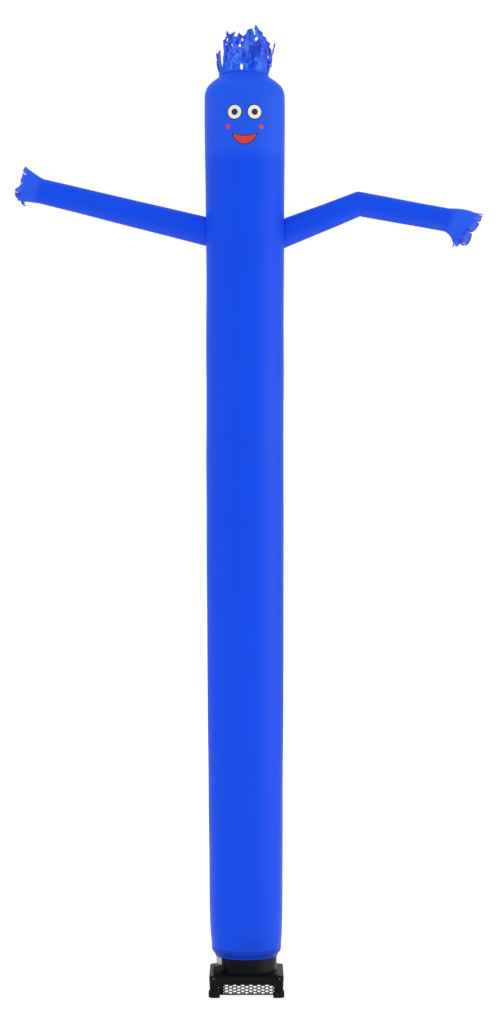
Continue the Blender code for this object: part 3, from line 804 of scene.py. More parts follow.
HAIR = (                 # from the right side, round the back, to the front
    Strip(0.012, 0.00, 10, 0.5, (0.50, 0.54, 0.50, 0.53, 0.46)),
    Strip(0.000, -0.05, -10, 0.8, (0.58, 0.66, 0.62, 0.66, 0.64)),
    Strip(-0.010, 0.10, 18, 1.0, (0.72, 0.82, 0.74, 0.84, 0.78)),
    Strip(-0.014, 0.10, -20, 1.0, (0.80, 0.70, 0.76, 0.68, 0.74)),
    Strip(-0.010, 0.15, 20, 1.0, (0.76, 0.82, 0.74, 0.86, 0.76)),
    Strip(-0.018, 0.10, -18, 1.0, (0.74, 0.82, 0.72, 0.78, 0.68)),
    Strip(-0.034, -0.10, 14, 0.8, (0.66, 0.70, 0.64, 0.58, 0.52)),
    Strip(0.002, 0.00, -6, 0.3, (0.46, 0.50, 0.47, 0.49, 0.42)),
    Strip(0.002, 0.00, 6, 0.3, (0.41, 0.47, 0.49, 0.51, 0.48)),
    Strip(-0.028, 0.08, -12, 0.8, (0.54, 0.64, 0.74, 0.82, 0.88)),
    Strip(-0.008, 0.05, 12, 0.9, (0.86, 0.80, 0.77, 0.80, 0.83)),
    Strip(-0.006, 0.00, -16, 1.0, (0.73, 0.70, 0.79, 0.76, 0.70)),
    Strip(-0.008, 0.00, 18, 0.9, (0.70, 0.77, 0.86, 0.88, 0.80)),
    Strip(0.000, -0.13, -8, 0.9, (0.86, 0.95, 0.92, 0.87, 0.81)),
    Strip(0.006, -0.08, 8, 0.7, (0.82, 0.76, 0.72, 0.68, 0.62)),
    Strip(0.018, 0.00, -24, 0.4, (0.62, 0.66, 0.60, 0.57, 0.50)),
)
HAIR_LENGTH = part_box("hair_fringe")[1].z - NECK
HAIR_FLARE = 0.014

# Where a slit of the hair gapes, seen from the ground in front of the face: the slit's number,
# the opening's place across, its rise above the neck, and its half width and half height.
Opening = namedtuple("Opening", "slit x rise half_width half_height")
SIGHT_SLOPE = 0.18       # of the line of sight from there
SLIT_LAP = 0.004         # how far the strips lap above and below an opening
HAIR_OPENINGS = (
    Opening(9, -0.146, 0.130, 0.0100, 0.080),
    Opening(10, -0.116, 0.219, 0.0055, 0.014),
    Opening(10, -0.122, 0.186, 0.0050, 0.010),
    Opening(11, -0.090, 0.183, 0.0085, 0.014),
    Opening(12, -0.024, 0.216, 0.0050, 0.012),
    Opening(12, -0.040, 0.182, 0.0085, 0.013),
    Opening(12, -0.030, 0.054, 0.0100, 0.026),
    Opening(13, 0.060, 0.220, 0.0120, 0.015),
    Opening(15, 0.128, 0.110, 0.0045, 0.014),
)

# How a fringe is cut and folded: where its slits start, the mesh's rows below that and the
# facets' rows above it, how wide a strip is for its place, how far it flattens out of the ring,
# how deep its creases are, how far neighbouring strips lie apart, one outside the other, and
# where its slits gape. Then its looks: how strong the painted light and shade of its facets is,
# how bright it is as a whole, how pale its edges are from wear and painted glow, and how deep the
# painted shade along its cut is. The seed is that of its creases.
Cut = namedtuple("Cut", "slit band_rows rows wide flat crease layer openings "
                        "contrast lift worn_edge outline seed")
CUFF_CUT = Cut(slit=0.87, band_rows=20, rows=3, wide=0.97, flat=0.3, crease=0.004, layer=0.003,
               openings=(), contrast=0.55, lift=0.21, worn_edge=0.7, outline=0.65, seed=2)
HAIR_CUT = Cut(slit=0.03, band_rows=4, rows=10, wide=1.08, flat=1.0, crease=0.014, layer=0.010,
               openings=HAIR_OPENINGS, contrast=1.0, lift=0.26, worn_edge=0.3, outline=0.6, seed=4)
FACET_COLUMNS = 4        # facets across each strip
FACET_CUTS = 4           # the mesh's columns and rows in each facet
SWAY = 0.3               # how far a facet's corner strays along its strip, in facets
BAND_FOLD = 0.004
BAND_FOLD_SIZE = 12.0
LIFT_RISE = 0.35         # where a cuff is as bright as its strips, up its length
CREASE_ROUNDING = 2      # how many times the creases are smoothed


def leans_right(row, column):
    """Which way a facet is cut in two: True where the cut runs up to the right."""
    return (row // FACET_CUTS + column // FACET_CUTS) % 2 == 0


class Facets:
    """The flat triangles of one crumpled strip, two to each cell between its corners."""

    def __init__(self, corners, contrast, seed):
        self.corners = corners
        self.contrast = contrast
        self.seed = seed

    def painted_light(self, row, column, half):
        """The painted light and shade of a triangle: alike along a long crease, different across it."""
        up, right = row % FACET_CUTS, column % FACET_CUTS
        side = up - right if leans_right(row, column) else up + right - (FACET_CUTS - 1)
        upper = side > 0 or (side == 0 and half == 1)
        cell = Vector((column // FACET_CUTS, row // FACET_CUTS, self.seed * 2 + upper))
        own = noise.cell(cell + Vector((0.5, 0.5, 0.5)))
        shared = noise.noise(Vector((cell.x * 0.7, cell.y * 0.25, self.seed * 3.1)))
        return max(-1.0, min(1.0, self.contrast * (0.7 * own + 1.1 * shared)))

    def vertex_painted_light(self, row, column):
        """The mean painted light and shade of the triangles round a vertex, which softens the creases."""
        rows = (max(0, row - 1), row)
        columns = (max(0, column - 1), column)
        tones = [self.painted_light(up, right, half) for up in rows for right in columns for half in (0, 1)]
        return sum(tones) / len(tones)

    def point(self, row, column):
        """A point of the mesh, which lies flat between the corners of its triangle."""
        low = min(row // FACET_CUTS, len(self.corners) - 2)
        left = min(column // FACET_CUTS, len(self.corners[0]) - 2)
        up = row / FACET_CUTS - low
        right = column / FACET_CUTS - left
        near, beside = self.corners[low][left:left + 2]
        above, far = self.corners[low + 1][left:left + 2]
        if (low + left) % 2 == 0:
            if up <= right:
                return near + (beside - near) * right + (far - beside) * up
            return near + (above - near) * up + (far - above) * right
        if up + right <= 1:
            return near + (beside - near) * right + (above - near) * up
        return far + (above - far) * (1 - right) + (beside - far) * (1 - up)


class Fringe:
    """A sheet closed into a ring and cut into crumpled strips above its band.

    stem(rise) gives the ring's centre, its two half-axis directions and their half sizes, at a
    rise of 0 at the sewn edge to 1 at full length. sewn(angle) is how far the cloth that it is
    sewn to stands out there. A turn is a share of once round.
    """

    def __init__(self, stem, sewn, strips, cut):
        self.stem = stem
        self.sewn = sewn
        self.strips = strips
        self.cut = cut
        self.length = (stem(1.0)[0] - stem(0.0)[0]).length
        self.girth = self.ring_length(0.0)
        self.random = random.Random(cut.seed)

    def ring_point(self, turn, rise):
        centre, across, up, half_width, half_height = self.stem(rise)
        return around(centre, across * half_width, up * half_height, 2 * math.pi * turn)

    def directions(self, turn, rise):
        """The tangent along the ring and the outward normal."""
        small = 0.002
        before = self.ring_point(turn - small, rise)
        tangent = (self.ring_point(turn + small, rise) - before).normalized()
        _, across, up, _, _ = self.stem(rise)
        return tangent, tangent.cross(across.cross(up)).normalized()

    def strip_width(self, number, rise):
        """The ring's share for one strip at a rise."""
        count = len(self.strips)
        return (self.ring_point((number + 1) / count, rise) - self.ring_point(number / count, rise)).length

    def ring_length(self, rise):
        return sum(self.strip_width(number, rise) for number in range(len(self.strips)))

    def flat_size(self):
        """The width and length of the cloth that the fringe is cut from."""
        longest = max(max(strip.ends) for strip in self.strips)
        return max(self.girth, self.ring_length(1.0)), self.length * longest

    def band_point(self, turn, rise):
        """A point of the uncut band, which follows what it is sewn to at its lower edge."""
        _, normal = self.directions(turn, rise)
        angle = 2 * math.pi * turn
        grown = smoothstep(rise / self.cut.slit)
        place = Vector((math.cos(angle), math.sin(angle), rise)) * self.length * BAND_FOLD_SIZE
        folds = BAND_FOLD * noise.noise(place + Vector((self.cut.seed, 0, 0)))
        return self.ring_point(turn, rise) + normal * (self.sewn(angle) * (1 - grown) + folds * grown)

    def strip_point(self, number, part, rise):
        """A corner of a strip's facets, part of the way across it."""
        cut = self.cut
        strip = self.strips[number]
        share = min(1.0, max(0.0, (rise - cut.slit) / (max(strip.ends) - cut.slit)))
        loose = smoothstep(share / 0.35)
        middle = (number + 0.5) / len(self.strips)
        width = self.strip_width(number, rise)
        beside = (part - 0.5) * (1 + (cut.wide - 1) * loose)
        held = self.ring_point(middle + beside / len(self.strips), rise)
        tangent, normal = self.directions(middle, rise)
        twist = math.radians(strip.twist) * share
        flat = tangent * math.cos(twist) + normal * math.sin(twist)
        free = self.ring_point(middle, rise) + flat * beside * width
        held += normal * math.sin(twist) * beside * width * (1 - cut.flat)
        deep = cut.crease * strip.crumpled * loose
        fold = normal * self.random.uniform(-1, 1) * deep
        fold += tangent * self.random.uniform(-0.45, 0.45) * deep
        layer = cut.layer * (number % 2 - 0.5) * loose
        place = held.lerp(free, loose * cut.flat) + fold + normal * (strip.lean * share + layer)
        return place + tangent * strip.swing * width * share

    def shape(self):
        """The whole fringe as a mesh, with its painted light and shade."""
        cut = self.cut
        count = len(self.strips)
        total = FACET_COLUMNS * FACET_CUTS * count
        made = new_shape()
        painted_light = made.verts.layers.float[PAINTED_LIGHT]
        columns = [index / total for index in range(total)]
        rises = [cut.slit * row / cut.band_rows for row in range(cut.band_rows + 1)]
        points = [[self.band_point(turn, rise) for turn in columns] for rise in rises]
        cloth = [[(turn * self.girth, rise * self.length) for turn in columns + [1.0]] for rise in rises]
        rows = lay(made, points, cloth, closed=True)
        # The band's lift, how bright it is as a whole, is kept with the painted light and shade.
        for row, rise in zip(rows, rises):
            for vertex in row:
                vertex[painted_light] = cut.lift * smoothstep(rise / LIFT_RISE)
        for number in range(count):
            self.add_strip(made, number, rows[-1])
        inner = [vertex for vertex in made.verts if not vertex.is_boundary]
        every_axis = {"use_axis_x": True, "use_axis_y": True, "use_axis_z": True}
        for _ in range(CREASE_ROUNDING):
            bmesh.ops.smooth_vert(made, verts=inner, factor=0.5, **every_axis)
        return made

    def corners(self, number, band):
        """The corners of a strip's facets, and their places on the flat cloth."""
        cut = self.cut
        strip = self.strips[number]
        width = self.girth / len(self.strips)
        points = []
        cloth = []
        for row in range(cut.rows + 1):
            line = []
            places = []
            for column, end in enumerate(strip.ends):
                part = column / FACET_COLUMNS
                sway = self.random.uniform(-SWAY, SWAY) if 0 < row < cut.rows else 0.0
                rise = cut.slit + (end - cut.slit) * (row + sway) / cut.rows
                line.append(self.strip_point(number, part, rise))
                places.append(Vector(((number + part) * width, rise * self.length)))
            points.append(line)
            cloth.append(places)
        points[0] = band[::FACET_CUTS]
        return points, cloth

    def open_slits(self, number, line):
        """Draw a row of a strip's points back from the openings of the slits at its two sides.

        The same slits gape at the back, in the line of sight, so the light shows through.
        """
        count = len(self.strips)
        last = len(line) - 1
        for opening in self.cut.openings:
            for column, slit in ((0, number), (last, (number + 1) % count)):
                if slit not in (opening.slit, count - opening.slit):
                    continue
                edge = line[column].copy()
                side = 1 if (column == 0) == (edge.y < 0) else -1
                high = abs(edge.z - NECK - opening.rise - edge.y * SIGHT_SLOPE) / opening.half_height
                drawn = max(-SLIT_LAP, opening.half_width * (1 - high ** 2))
                shift = (opening.x + side * drawn - edge.x) * smoothstep((1.8 - high) / 0.6)
                for place, point in enumerate(line):
                    point.x += shift * max(0.0, 1 - abs(place - column) / (0.75 * last))

    def add_strip(self, made, number, band):
        cut = self.cut
        count = FACET_COLUMNS * FACET_CUTS
        first = [band[(number * count + column) % len(band)] for column in range(count + 1)]
        points, cloth = self.corners(number, [vertex.co for vertex in first])
        facets = Facets(points, cut.contrast * self.strips[number].crumpled, cut.seed + number)
        flat = Facets(cloth, 0.0, 0)
        steps = range(cut.rows * FACET_CUTS + 1)
        fine = [[facets.point(row, column) for column in range(count + 1)] for row in steps]
        places = [[flat.point(row, column) for column in range(count + 1)] for row in steps]
        for line in fine[1:]:
            self.open_slits(number, line)
        self.shade(made, lay(made, fine, places, first=first, split=leans_right), facets)

    def shade(self, made, rows, facets):
        """A strip's looks: edges paled by wear and painted glow, painted shade along its cut, and painted
        light and shade on its facets.
        """
        cut = self.cut
        pale = made.verts.layers.float[PALE]
        painted_light = made.verts.layers.float[PAINTED_LIGHT]
        for row, line in enumerate(rows):
            tip = row / (len(rows) - 1)
            for column, vertex in enumerate(line):
                side = abs(column / (len(line) - 1) - 0.5) * 2
                # Sides and tips paled by wear and by painted light shining through.
                wear_and_glow_side = smoothstep((side - 0.80) / 0.20) * min(1, tip * 3)
                vertex[pale] = max(wear_and_glow_side, smoothstep((tip - 0.1) / 0.6)) * cut.worn_edge
                # A painted line of shade along the tip and the cut sides.
                shaded_side = 0.6 if side == 1 and row > 2 else 0.0
                outline = cut.outline * max(smoothstep((tip - 0.86) / 0.10), shaded_side)
                own = facets.vertex_painted_light(row, column) * min(1, row / FACET_CUTS)
                vertex[painted_light] = max(-1.0, own + cut.lift - outline)


def cuff_stem(root, cuff):
    """The cuff goes from the arm's round end to a tall, flat mouth."""
    wrist_direction = (root.points[-1] - root.points[-2]).normalized()
    wrist = root.points[-1] + wrist_direction * GAP
    wrist_up = upward(wrist_direction)
    mouth_up = cuff.mouth_up.normalized()
    knee = wrist + wrist_direction * (cuff.mouth - wrist).length / 2
    radius = root.radii[-1]

    def stem(rise):
        start = wrist.lerp(knee, rise)
        centre = start.lerp(knee.lerp(cuff.mouth, rise), rise)
        up = wrist_up.lerp(mouth_up, rise).normalized()
        ahead = up.cross(Y_AXIS)
        ahead *= math.copysign(1, ahead.dot(wrist_direction))
        flare = min(rise, 1.0) ** CUFF_FLARE_POWER
        half_depth = radius + (cuff.half_depth - radius) * flare
        half_height = radius + (cuff.half_height - radius) * flare
        return centre, up.cross(ahead), up, half_depth, half_height
    return stem


def hair_stem(rise):
    neck = SECTIONS[-1]
    centre = Vector((neck.drift, 0, neck.height + GAP + HAIR_LENGTH * rise))
    radius = neck.radius + HAIR_FLARE * math.sin(math.pi * min(1.0, rise * 1.1) * 0.75)
    return centre, X_AXIS, Y_AXIS, radius, radius


def neck_relief(angle):
    return tube_relief(angle, NECK)


def build_fringe(name, node_name, fringe, material):
    cloth = add_mesh(name, fringe.shape(), [material], 50.0)
    thicken(cloth, CLOTH)
    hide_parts(node_name)
    fringe.flat_size()


def build_fringes(material):
    for side, cuff in CUFFS.items():
        fringe = Fringe(cuff_stem(roots[side], cuff), arms[side].end_relief, cuff.strips, CUFF_CUT)
        build_fringe("cuff_" + side, "hand_" + side, fringe, material)
    hair = Fringe(hair_stem, neck_relief, HAIR, HAIR_CUT)
    build_fringe("hair_cloth", "hair_fringe", hair, material)


# ----------------------------------------------------------- stitching

STITCH_PITCH = 0.0085
STITCH_LENGTH = 0.0058
STITCH_RADIUS = 0.0006
STITCH_OUT = 0.4                      # how far it stands off the cloth, in its radii
STITCH_RINGS = ((0.0, 0.0, 0.6), (0.5, 0.7, 1.0), (1.0, 0.0, 0.6))   # share along, bow, size
SEWN_FROM = FOLD + 0.02               # where the long seam's stitches start
SEWN_RINGS = (FOLD + 0.012, FOLD + 0.018, NECK - 0.007)
SEWN_SIDE = 0.62                      # how far out the long seam's rows lie, in its half widths


def add_stitch(shape, start, end, normal):
    """One stitch: a small bowed thread from start to end."""
    across = (end - start).normalized().cross(normal).normalized() * STITCH_RADIUS
    up = normal * STITCH_RADIUS
    rings = []
    for share, bow, size in STITCH_RINGS:
        centre = start.lerp(end, share) + up * bow
        rings.append([around(centre, across * size, up * size, turn) for turn in turns(4, 0.5)])
    cap(shape, loft(shape, rings))


def sew(shape, places):
    """Stitches on the tube, from each (angle, height) place towards the next."""
    points = [wall(angle, height, STITCH_RADIUS * STITCH_OUT) for angle, height in places]
    for place, start, after in zip(places, points, points[1:]):
        end = start.lerp(after, STITCH_LENGTH / STITCH_PITCH)
        add_stitch(shape, start, end, wall_normal(*place))


def build_stitches(material):
    """Two rows up the long seam, two round the fold and one round the neck."""
    shape = new_shape()
    count = int((SHOULDER - SEWN_FROM) / STITCH_PITCH)
    for side in (-1, 1):
        angle = SEAM_ANGLE + side * SEAM_HALF * SEWN_SIDE / TUBE_MEAN
        sew(shape, [(angle, SEWN_FROM + index * STITCH_PITCH) for index in range(count)])
    for height in SEWN_RINGS:
        count = round(2 * math.pi * tube_radius(height) / STITCH_PITCH)
        sew(shape, [(angle, height) for angle in turns(count) + [2 * math.pi]])
    return add_mesh("stitches", shape, [material])


# ------------------------------------------------------------ the face

FACE_MIDDLE = -math.pi / 2
FACE_LIFT = 0.00045
INK = 0.0003
EYE_SPREAD = 0.060
EYE_HEIGHT = 5.238
EYE_RADIUS = 0.047
RIM = 0.0065
PUPIL_RADIUS = 0.019
EYE_RINGS = (EYE_RADIUS, EYE_RADIUS - RIM, PUPIL_RADIUS)
CHEEK_SPREAD = 0.101
CHEEK_HEIGHT = 5.152
CHEEK_RADIUS = 0.014
MOUTH_HEIGHT = 5.118
MOUTH_HALF = 0.078
MOUTH_SAG = 0.016
MOUTH_DEPTH = 0.074
OUTLINE_POINTS = 56
PRINT_STEP = 0.009       # between the print's rows of vertices


def face_point(x, z):
    """A point of the print, x across the face and z up, laid on the head."""
    return wall(FACE_MIDDLE + x / tube_radius(z), z, FACE_LIFT)


def disc_outline(x, z, radius):
    return [(x + radius * math.cos(turn), z + radius * math.sin(turn)) for turn in turns(OUTLINE_POINTS)]


def mouth_outline(inset):
    """A half-moon: a shallow upper curve and a deep lower one."""
    half = MOUTH_HALF - inset * 1.5
    points = []
    for turn in turns(OUTLINE_POINTS, 0.5):
        x = half * math.cos(turn)
        bowl = 1 - (x / half) ** 2
        drop = MOUTH_SAG * bowl + inset
        if math.sin(turn) <= 0:
            drop = (MOUTH_DEPTH - inset) * bowl ** 0.62 + inset * (1 - bowl)
        points.append((x, MOUTH_HEIGHT - drop))
    return points


def lay_print(shape, outlines, inks, centre):
    """Rings of ink between outlines, largest first, the last one filled to the centre.

    inks gives the number of each ring's material.
    """
    outlines = outlines + [[centre] * len(outlines[0])]
    for ink_number, outer, inner in zip(inks, outlines, outlines[1:]):
        printed = len(shape.faces)
        last = inner is outlines[-1]
        steps = max(1, math.ceil(max(map(math.dist, outer, inner)) / PRINT_STEP))
        rings = []
        for step in range(steps if last else steps + 1):
            share = step / steps
            rings.append([
                face_point(x + (inner_x - x) * share, z + (inner_z - z) * share)
                for (x, z), (inner_x, inner_z) in zip(outer, inner)
            ])
        ring = loft(shape, rings)[-1]
        if last:
            middle = shape.verts.new(face_point(*centre))
            for vertex, after in zip(ring, ring[1:] + ring[:1]):
                shape.faces.new((vertex, after, middle))
        for face in shape.faces[printed:]:
            face.material_index = ink_number


def build_face(white, black, red):
    """A plain smiling face of round eyes, round cheeks and a half-moon mouth."""
    shape = new_shape()
    for side in (-1, 1):
        x = side * EYE_SPREAD
        eye = [disc_outline(x, EYE_HEIGHT, radius) for radius in EYE_RINGS]
        lay_print(shape, eye, (1, 0, 1), (x, EYE_HEIGHT))
        x = side * CHEEK_SPREAD
        lay_print(shape, [disc_outline(x, CHEEK_HEIGHT, CHEEK_RADIUS)], (2,), (x, CHEEK_HEIGHT))
    middle = (0.0, MOUTH_HEIGHT - (MOUTH_SAG + MOUTH_DEPTH) / 2)
    lay_print(shape, [mouth_outline(0.0), mouth_outline(RIM)], (1, 2), middle)
    bmesh.ops.remove_doubles(shape, verts=shape.verts, dist=0.00002)
    bmesh.ops.recalc_face_normals(shape, faces=shape.faces)
    face = add_mesh("face_print", shape, [white, black, red])
    thicken(face, INK, offset=1.0)
    return face


# --------------------------------------------------------- the blower

SIDES = ("front", "right", "back", "left")
SHEET = 0.0025
BASE_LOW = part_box("blower_housing")[0].z
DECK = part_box("blower_housing")[1].z
BASE_HALF_LOW = 0.2165
BASE_HALF_HIGH = 0.2215
WALL_HIGH = 0.121
WALL_TILT = math.atan((BASE_HALF_HIGH - BASE_HALF_LOW) / (WALL_HIGH - BASE_LOW))
BASE_CORNER = 0.020
CORNER_STEPS = 12
BEND_RADIUS = 0.0065     # of the bend between the walls and the deck
BEND_STEPS = 6
OUTLET_RADIUS = 0.160

WINDOW_WIDTH = 0.298
WINDOW_HEIGHT = 0.052
WINDOW_SHIFT = 0.0137
WINDOW_LOW = 0.008
MESH_LAP = 0.006
MESH_THICK = 0.0018
CELL_POINT = 0.0168      # half the width of one cell of the mesh, across its points
CELL_FLAT = 0.0071       # half the width of its flat top and bottom
CELL_HALF = 0.00875      # half its height
STRAND_HALF = 0.0031
STRAND_STRAY = 0.0006    # handling marks: how far a strand is out of true
DENT = 0.0032            # and how far, where and how widely the front ones are bent
DENT_PLACE = Vector((-0.105, 0.0, 0.004))
DENT_REACH = 0.026
STRAY_SEEDS = (Vector((3.7, 1.4, 8.2)), Vector((9.1, 5.6, 2.3)))   # for the two directions

DRUM_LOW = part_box("blower_drum")[0].z
DRUM_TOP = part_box("blower_drum")[1].z
DRUM_TALL = DRUM_TOP - DRUM_LOW
FLANGE_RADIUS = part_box("blower_drum")[1].x
FLANGE_THICK = 0.0050
DRUM_RADIUS = 0.181
DRUM_COLUMNS = 144
DRUM_PROFILE = (         # radius and height above the drum's foot
    (DRUM_RADIUS - SHEET, 0.0),
    (FLANGE_RADIUS, 0.0),
    (FLANGE_RADIUS, FLANGE_THICK - 0.0014),
    (FLANGE_RADIUS - 0.0004, FLANGE_THICK - 0.0004),
    (FLANGE_RADIUS - 0.0014, FLANGE_THICK),
    (DRUM_RADIUS + 0.0030, FLANGE_THICK),
    (DRUM_RADIUS + 0.0009, FLANGE_THICK + 0.0009),
    (DRUM_RADIUS, FLANGE_THICK + 0.0030),
    (DRUM_RADIUS, DRUM_TALL),
    (DRUM_RADIUS - SHEET, DRUM_TALL),
)

# What is fixed on the drum: the lap of its rolled sheet, the pressed ribs and a blank patch.
Patch = namedtuple("Patch", "angle half_width low high proud")
LAP = Patch(math.radians(221), 0.0075, 0.146, 0.216, 0.0012)
BLANK = Patch(math.radians(202), 0.0430, 0.176, 0.2165, 0.0006)
RIB = Patch(math.radians(270), 0.0028, 0.148, 0.184, 0.0014)
RIB_COUNT = 10
RIB_PITCH = 0.0125
PATCH_STEP = 0.004

RIVETS = ((-0.168, 0.0425), (-0.168, 0.0260))     # along the front wall, and up it
RIVET_RADIUS = 0.0032
RIVET_RISE = 0.0014
RIVET_STEPS = 3
RIVET_COLUMNS = 16
RIVET_DOME = math.radians(75)


def base_ring(half, corner, height):
    """A rounded square, with points where the windows start and end."""
    points = []
    for side in range(len(SIDES)):
        turn = Matrix.Rotation(side * math.pi / 2, 3, "Z")
        for end in (-1, 1):
            points.append(turn @ Vector((WINDOW_SHIFT + end * WINDOW_WIDTH / 2, -half, height)))
        for step in range(CORNER_STEPS + 1):
            angle = (step / CORNER_STEPS - 1) * math.pi / 2
            arc = Vector((math.cos(angle), math.sin(angle), 0)) * corner
            points.append(turn @ (Vector((half - corner, corner - half, height)) + arc))
    return points


def build_housing(material):
    """The folded base: four leaning walls with a window each, a bend, and the deck."""
    wall_top = (WALL_HIGH - BASE_LOW) / math.cos(WALL_TILT)
    rings = []
    for up in (0.0, WINDOW_LOW, WINDOW_LOW + WINDOW_HEIGHT, wall_top):
        half = BASE_HALF_LOW + up * math.sin(WALL_TILT)
        rings.append(base_ring(half, BASE_CORNER, BASE_LOW + up * math.cos(WALL_TILT)))
    for step in range(1, BEND_STEPS + 1):
        angle = step / BEND_STEPS * math.pi / 2
        inset = BEND_RADIUS * (1 - math.cos(angle))
        rise = BEND_RADIUS * math.sin(angle)
        rings.append(base_ring(BASE_HALF_HIGH - inset, BASE_CORNER - inset, WALL_HIGH + rise))
    deck = base_ring(FLANGE_RADIUS, BASE_CORNER, DECK)
    rings.append(deck)
    rings.append([Vector((*point.xy.normalized() * OUTLET_RADIUS, DECK)) for point in deck])
    columns = len(deck) // len(SIDES)
    shape = bmesh.new()
    loft(shape, rings, keep=lambda row, column: row != 1 or column % columns != 0)
    housing = add_mesh("base_housing", shape, [material], 30.0)
    thicken(housing, SHEET)
    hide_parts("blower_housing")


def build_drum(material):
    rings = []
    for radius, height in DRUM_PROFILE + DRUM_PROFILE[:1]:
        middle = Z_AXIS * (DRUM_LOW + height)
        across, along = X_AXIS * radius, Y_AXIS * radius
        rings.append([around(middle, across, along, turn) for turn in turns(DRUM_COLUMNS)])
    shape = bmesh.new()
    loft(shape, rings)
    bmesh.ops.remove_doubles(shape, verts=shape.verts, dist=0.00001)
    drum = add_mesh("drum_barrel", shape, [material], 35.0)
    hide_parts("blower_drum")


def add_patch(shape, patch, shift=0.0):
    """A flat-topped patch on the drum's wall, shifted along it, with small bevelled edges."""
    bevel = patch.proud * 0.5
    columns = max(2, math.ceil(2 * patch.half_width / PATCH_STEP))
    rings = []
    for outset, inset in ((0.0, 0.0), (patch.proud - bevel, 0.0), (patch.proud, bevel)):
        half = patch.half_width - inset
        out = DRUM_RADIUS + GAP + outset
        ring = []
        for height, direction in ((patch.low + inset, 1), (patch.high - inset, -1)):
            for column in range(columns + 1):
                along = direction * half * (2 * column / columns - 1) + shift
                angle = patch.angle + along / DRUM_RADIUS
                ring.append(Vector((out * math.cos(angle), out * math.sin(angle), height)))
        rings.append(ring)
    rows = loft(shape, rings)
    for row, direction in ((rows[0], -1), (rows[-1], 1)):
        lower, upper = row[:columns + 1], row[columns + 1:][::-1]
        for column in range(columns):
            face = (lower[column], lower[column + 1], upper[column + 1], upper[column])
            shape.faces.new(face[::direction])


def build_drum_fittings(steel, blank):
    shape = bmesh.new()
    add_patch(shape, LAP)
    for number in range(RIB_COUNT):
        add_patch(shape, RIB, (number - (RIB_COUNT - 1) / 2) * RIB_PITCH)
    add_mesh("drum_lap_and_ribs", shape, [steel], 30.0)
    shape = bmesh.new()
    add_patch(shape, BLANK)
    add_mesh("blank_patch", shape, [blank], 30.0)


def wall_frame(side):
    """The frame of one wall of the base: x to the right, y inwards, z up the wall."""
    turn = Matrix.Rotation(side * math.pi / 2, 4, "Z")
    edge = Matrix.Translation((0, -BASE_HALF_LOW, BASE_LOW))
    return turn @ edge @ Matrix.Rotation(WALL_TILT, 4, "X")


def build_rivets(material):
    """Two domed rivet heads on the front wall."""
    shape = bmesh.new()
    for along, up in RIVETS:
        rings = []
        for step in range(RIVET_STEPS + 1):
            dome = RIVET_DOME * step / RIVET_STEPS
            radius = RIVET_RADIUS * math.cos(dome)
            middle = Vector((along, -GAP - RIVET_RISE * math.sin(dome), up))
            across, tall = X_AXIS * radius, Z_AXIS * radius
            rings.append([around(middle, across, tall, turn) for turn in turns(RIVET_COLUMNS)])
        cap(shape, loft(shape, rings))
    rivets = add_mesh("rivets", shape, [material], 50.0)
    rivets.data.transform(wall_frame(0))


def add_cell(shape, x, z):
    """One six-sided cell of the expanded mesh, as a flat frame round its hole."""
    run = CELL_POINT - CELL_FLAT
    hole_tall = CELL_HALF - STRAND_HALF
    hole_point = CELL_POINT - STRAND_HALF * math.hypot(CELL_HALF, run) / CELL_HALF
    hole_flat = hole_point - run * hole_tall / CELL_HALF
    rings = []
    for point, flat, tall in ((CELL_POINT, CELL_FLAT, CELL_HALF), (hole_point, hole_flat, hole_tall)):
        corners = ((-point, 0), (-flat, -tall), (flat, -tall), (point, 0), (flat, tall), (-flat, tall))
        rings.append([(x + across, 0, z + up) for across, up in corners])
    loft(shape, rings)


def stray(place):
    """A random shift in the plane of the mesh, smooth from place to place."""
    across, up = (noise.noise(place + seed) for seed in STRAY_SEEDS)
    return Vector((across, 0.0, up))


def bend_strands(shape, side):
    """Every strand is a little out of true, and the front ones are dented at the left."""
    for vertex in shape.verts:
        if abs(vertex.co.x) >= WINDOW_WIDTH / 2 or abs(vertex.co.z) >= WINDOW_HEIGHT / 2:
            continue
        vertex.co += stray(vertex.co * 90 + Vector((side, side, side))) * STRAND_STRAY
        if side == 0:
            near = fade((vertex.co - DENT_PLACE).length, DENT_REACH)
            vertex.co += stray(vertex.co * 140) * DENT * near


def build_grille(side, material):
    """Expanded metal behind one window, cut to size and a little bent."""
    shape = new_shape()
    pitch = CELL_POINT + CELL_FLAT
    columns = math.ceil((WINDOW_WIDTH + 2 * MESH_LAP) / pitch) + 1
    rows = math.ceil((WINDOW_HEIGHT + 2 * MESH_LAP) / (2 * CELL_HALF)) + 1
    for column in range(columns):
        lift = 0.25 if column % 2 else -0.25
        for row in range(rows):
            up = (row - (rows - 1) / 2 + lift) * 2 * CELL_HALF
            add_cell(shape, (column - (columns - 1) / 2) * pitch, up)
    bmesh.ops.remove_doubles(shape, verts=shape.verts, dist=0.00005)
    edge_x = X_AXIS * (WINDOW_WIDTH / 2 + MESH_LAP)
    edge_z = Z_AXIS * (WINDOW_HEIGHT / 2 + MESH_LAP)
    for edge in (edge_x, -edge_x, edge_z, -edge_z):
        everything = shape.verts[:] + shape.edges[:] + shape.faces[:]
        bmesh.ops.bisect_plane(
            shape, geom=everything, dist=0.00001, plane_co=edge, plane_no=edge, clear_outer=True
        )
    bend_strands(shape, side)
    grille = add_mesh("mesh_" + SIDES[side], shape, [material], 30.0)
    thicken(grille, MESH_THICK)
    centre = Vector((WINDOW_SHIFT, SHEET + GAP, WINDOW_LOW + WINDOW_HEIGHT / 2))
    grille.data.transform(wall_frame(side) @ Matrix.Translation(centre))
    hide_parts("grille_" + SIDES[side])


def finish_packed(finishes):
    """Give the solids that stay as packed their finish, by how their names start."""
    for name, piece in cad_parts.items():
        for start, material in finishes.items():
            if name.startswith(start):
                for slot in piece.material_slots:
                    slot.material = material


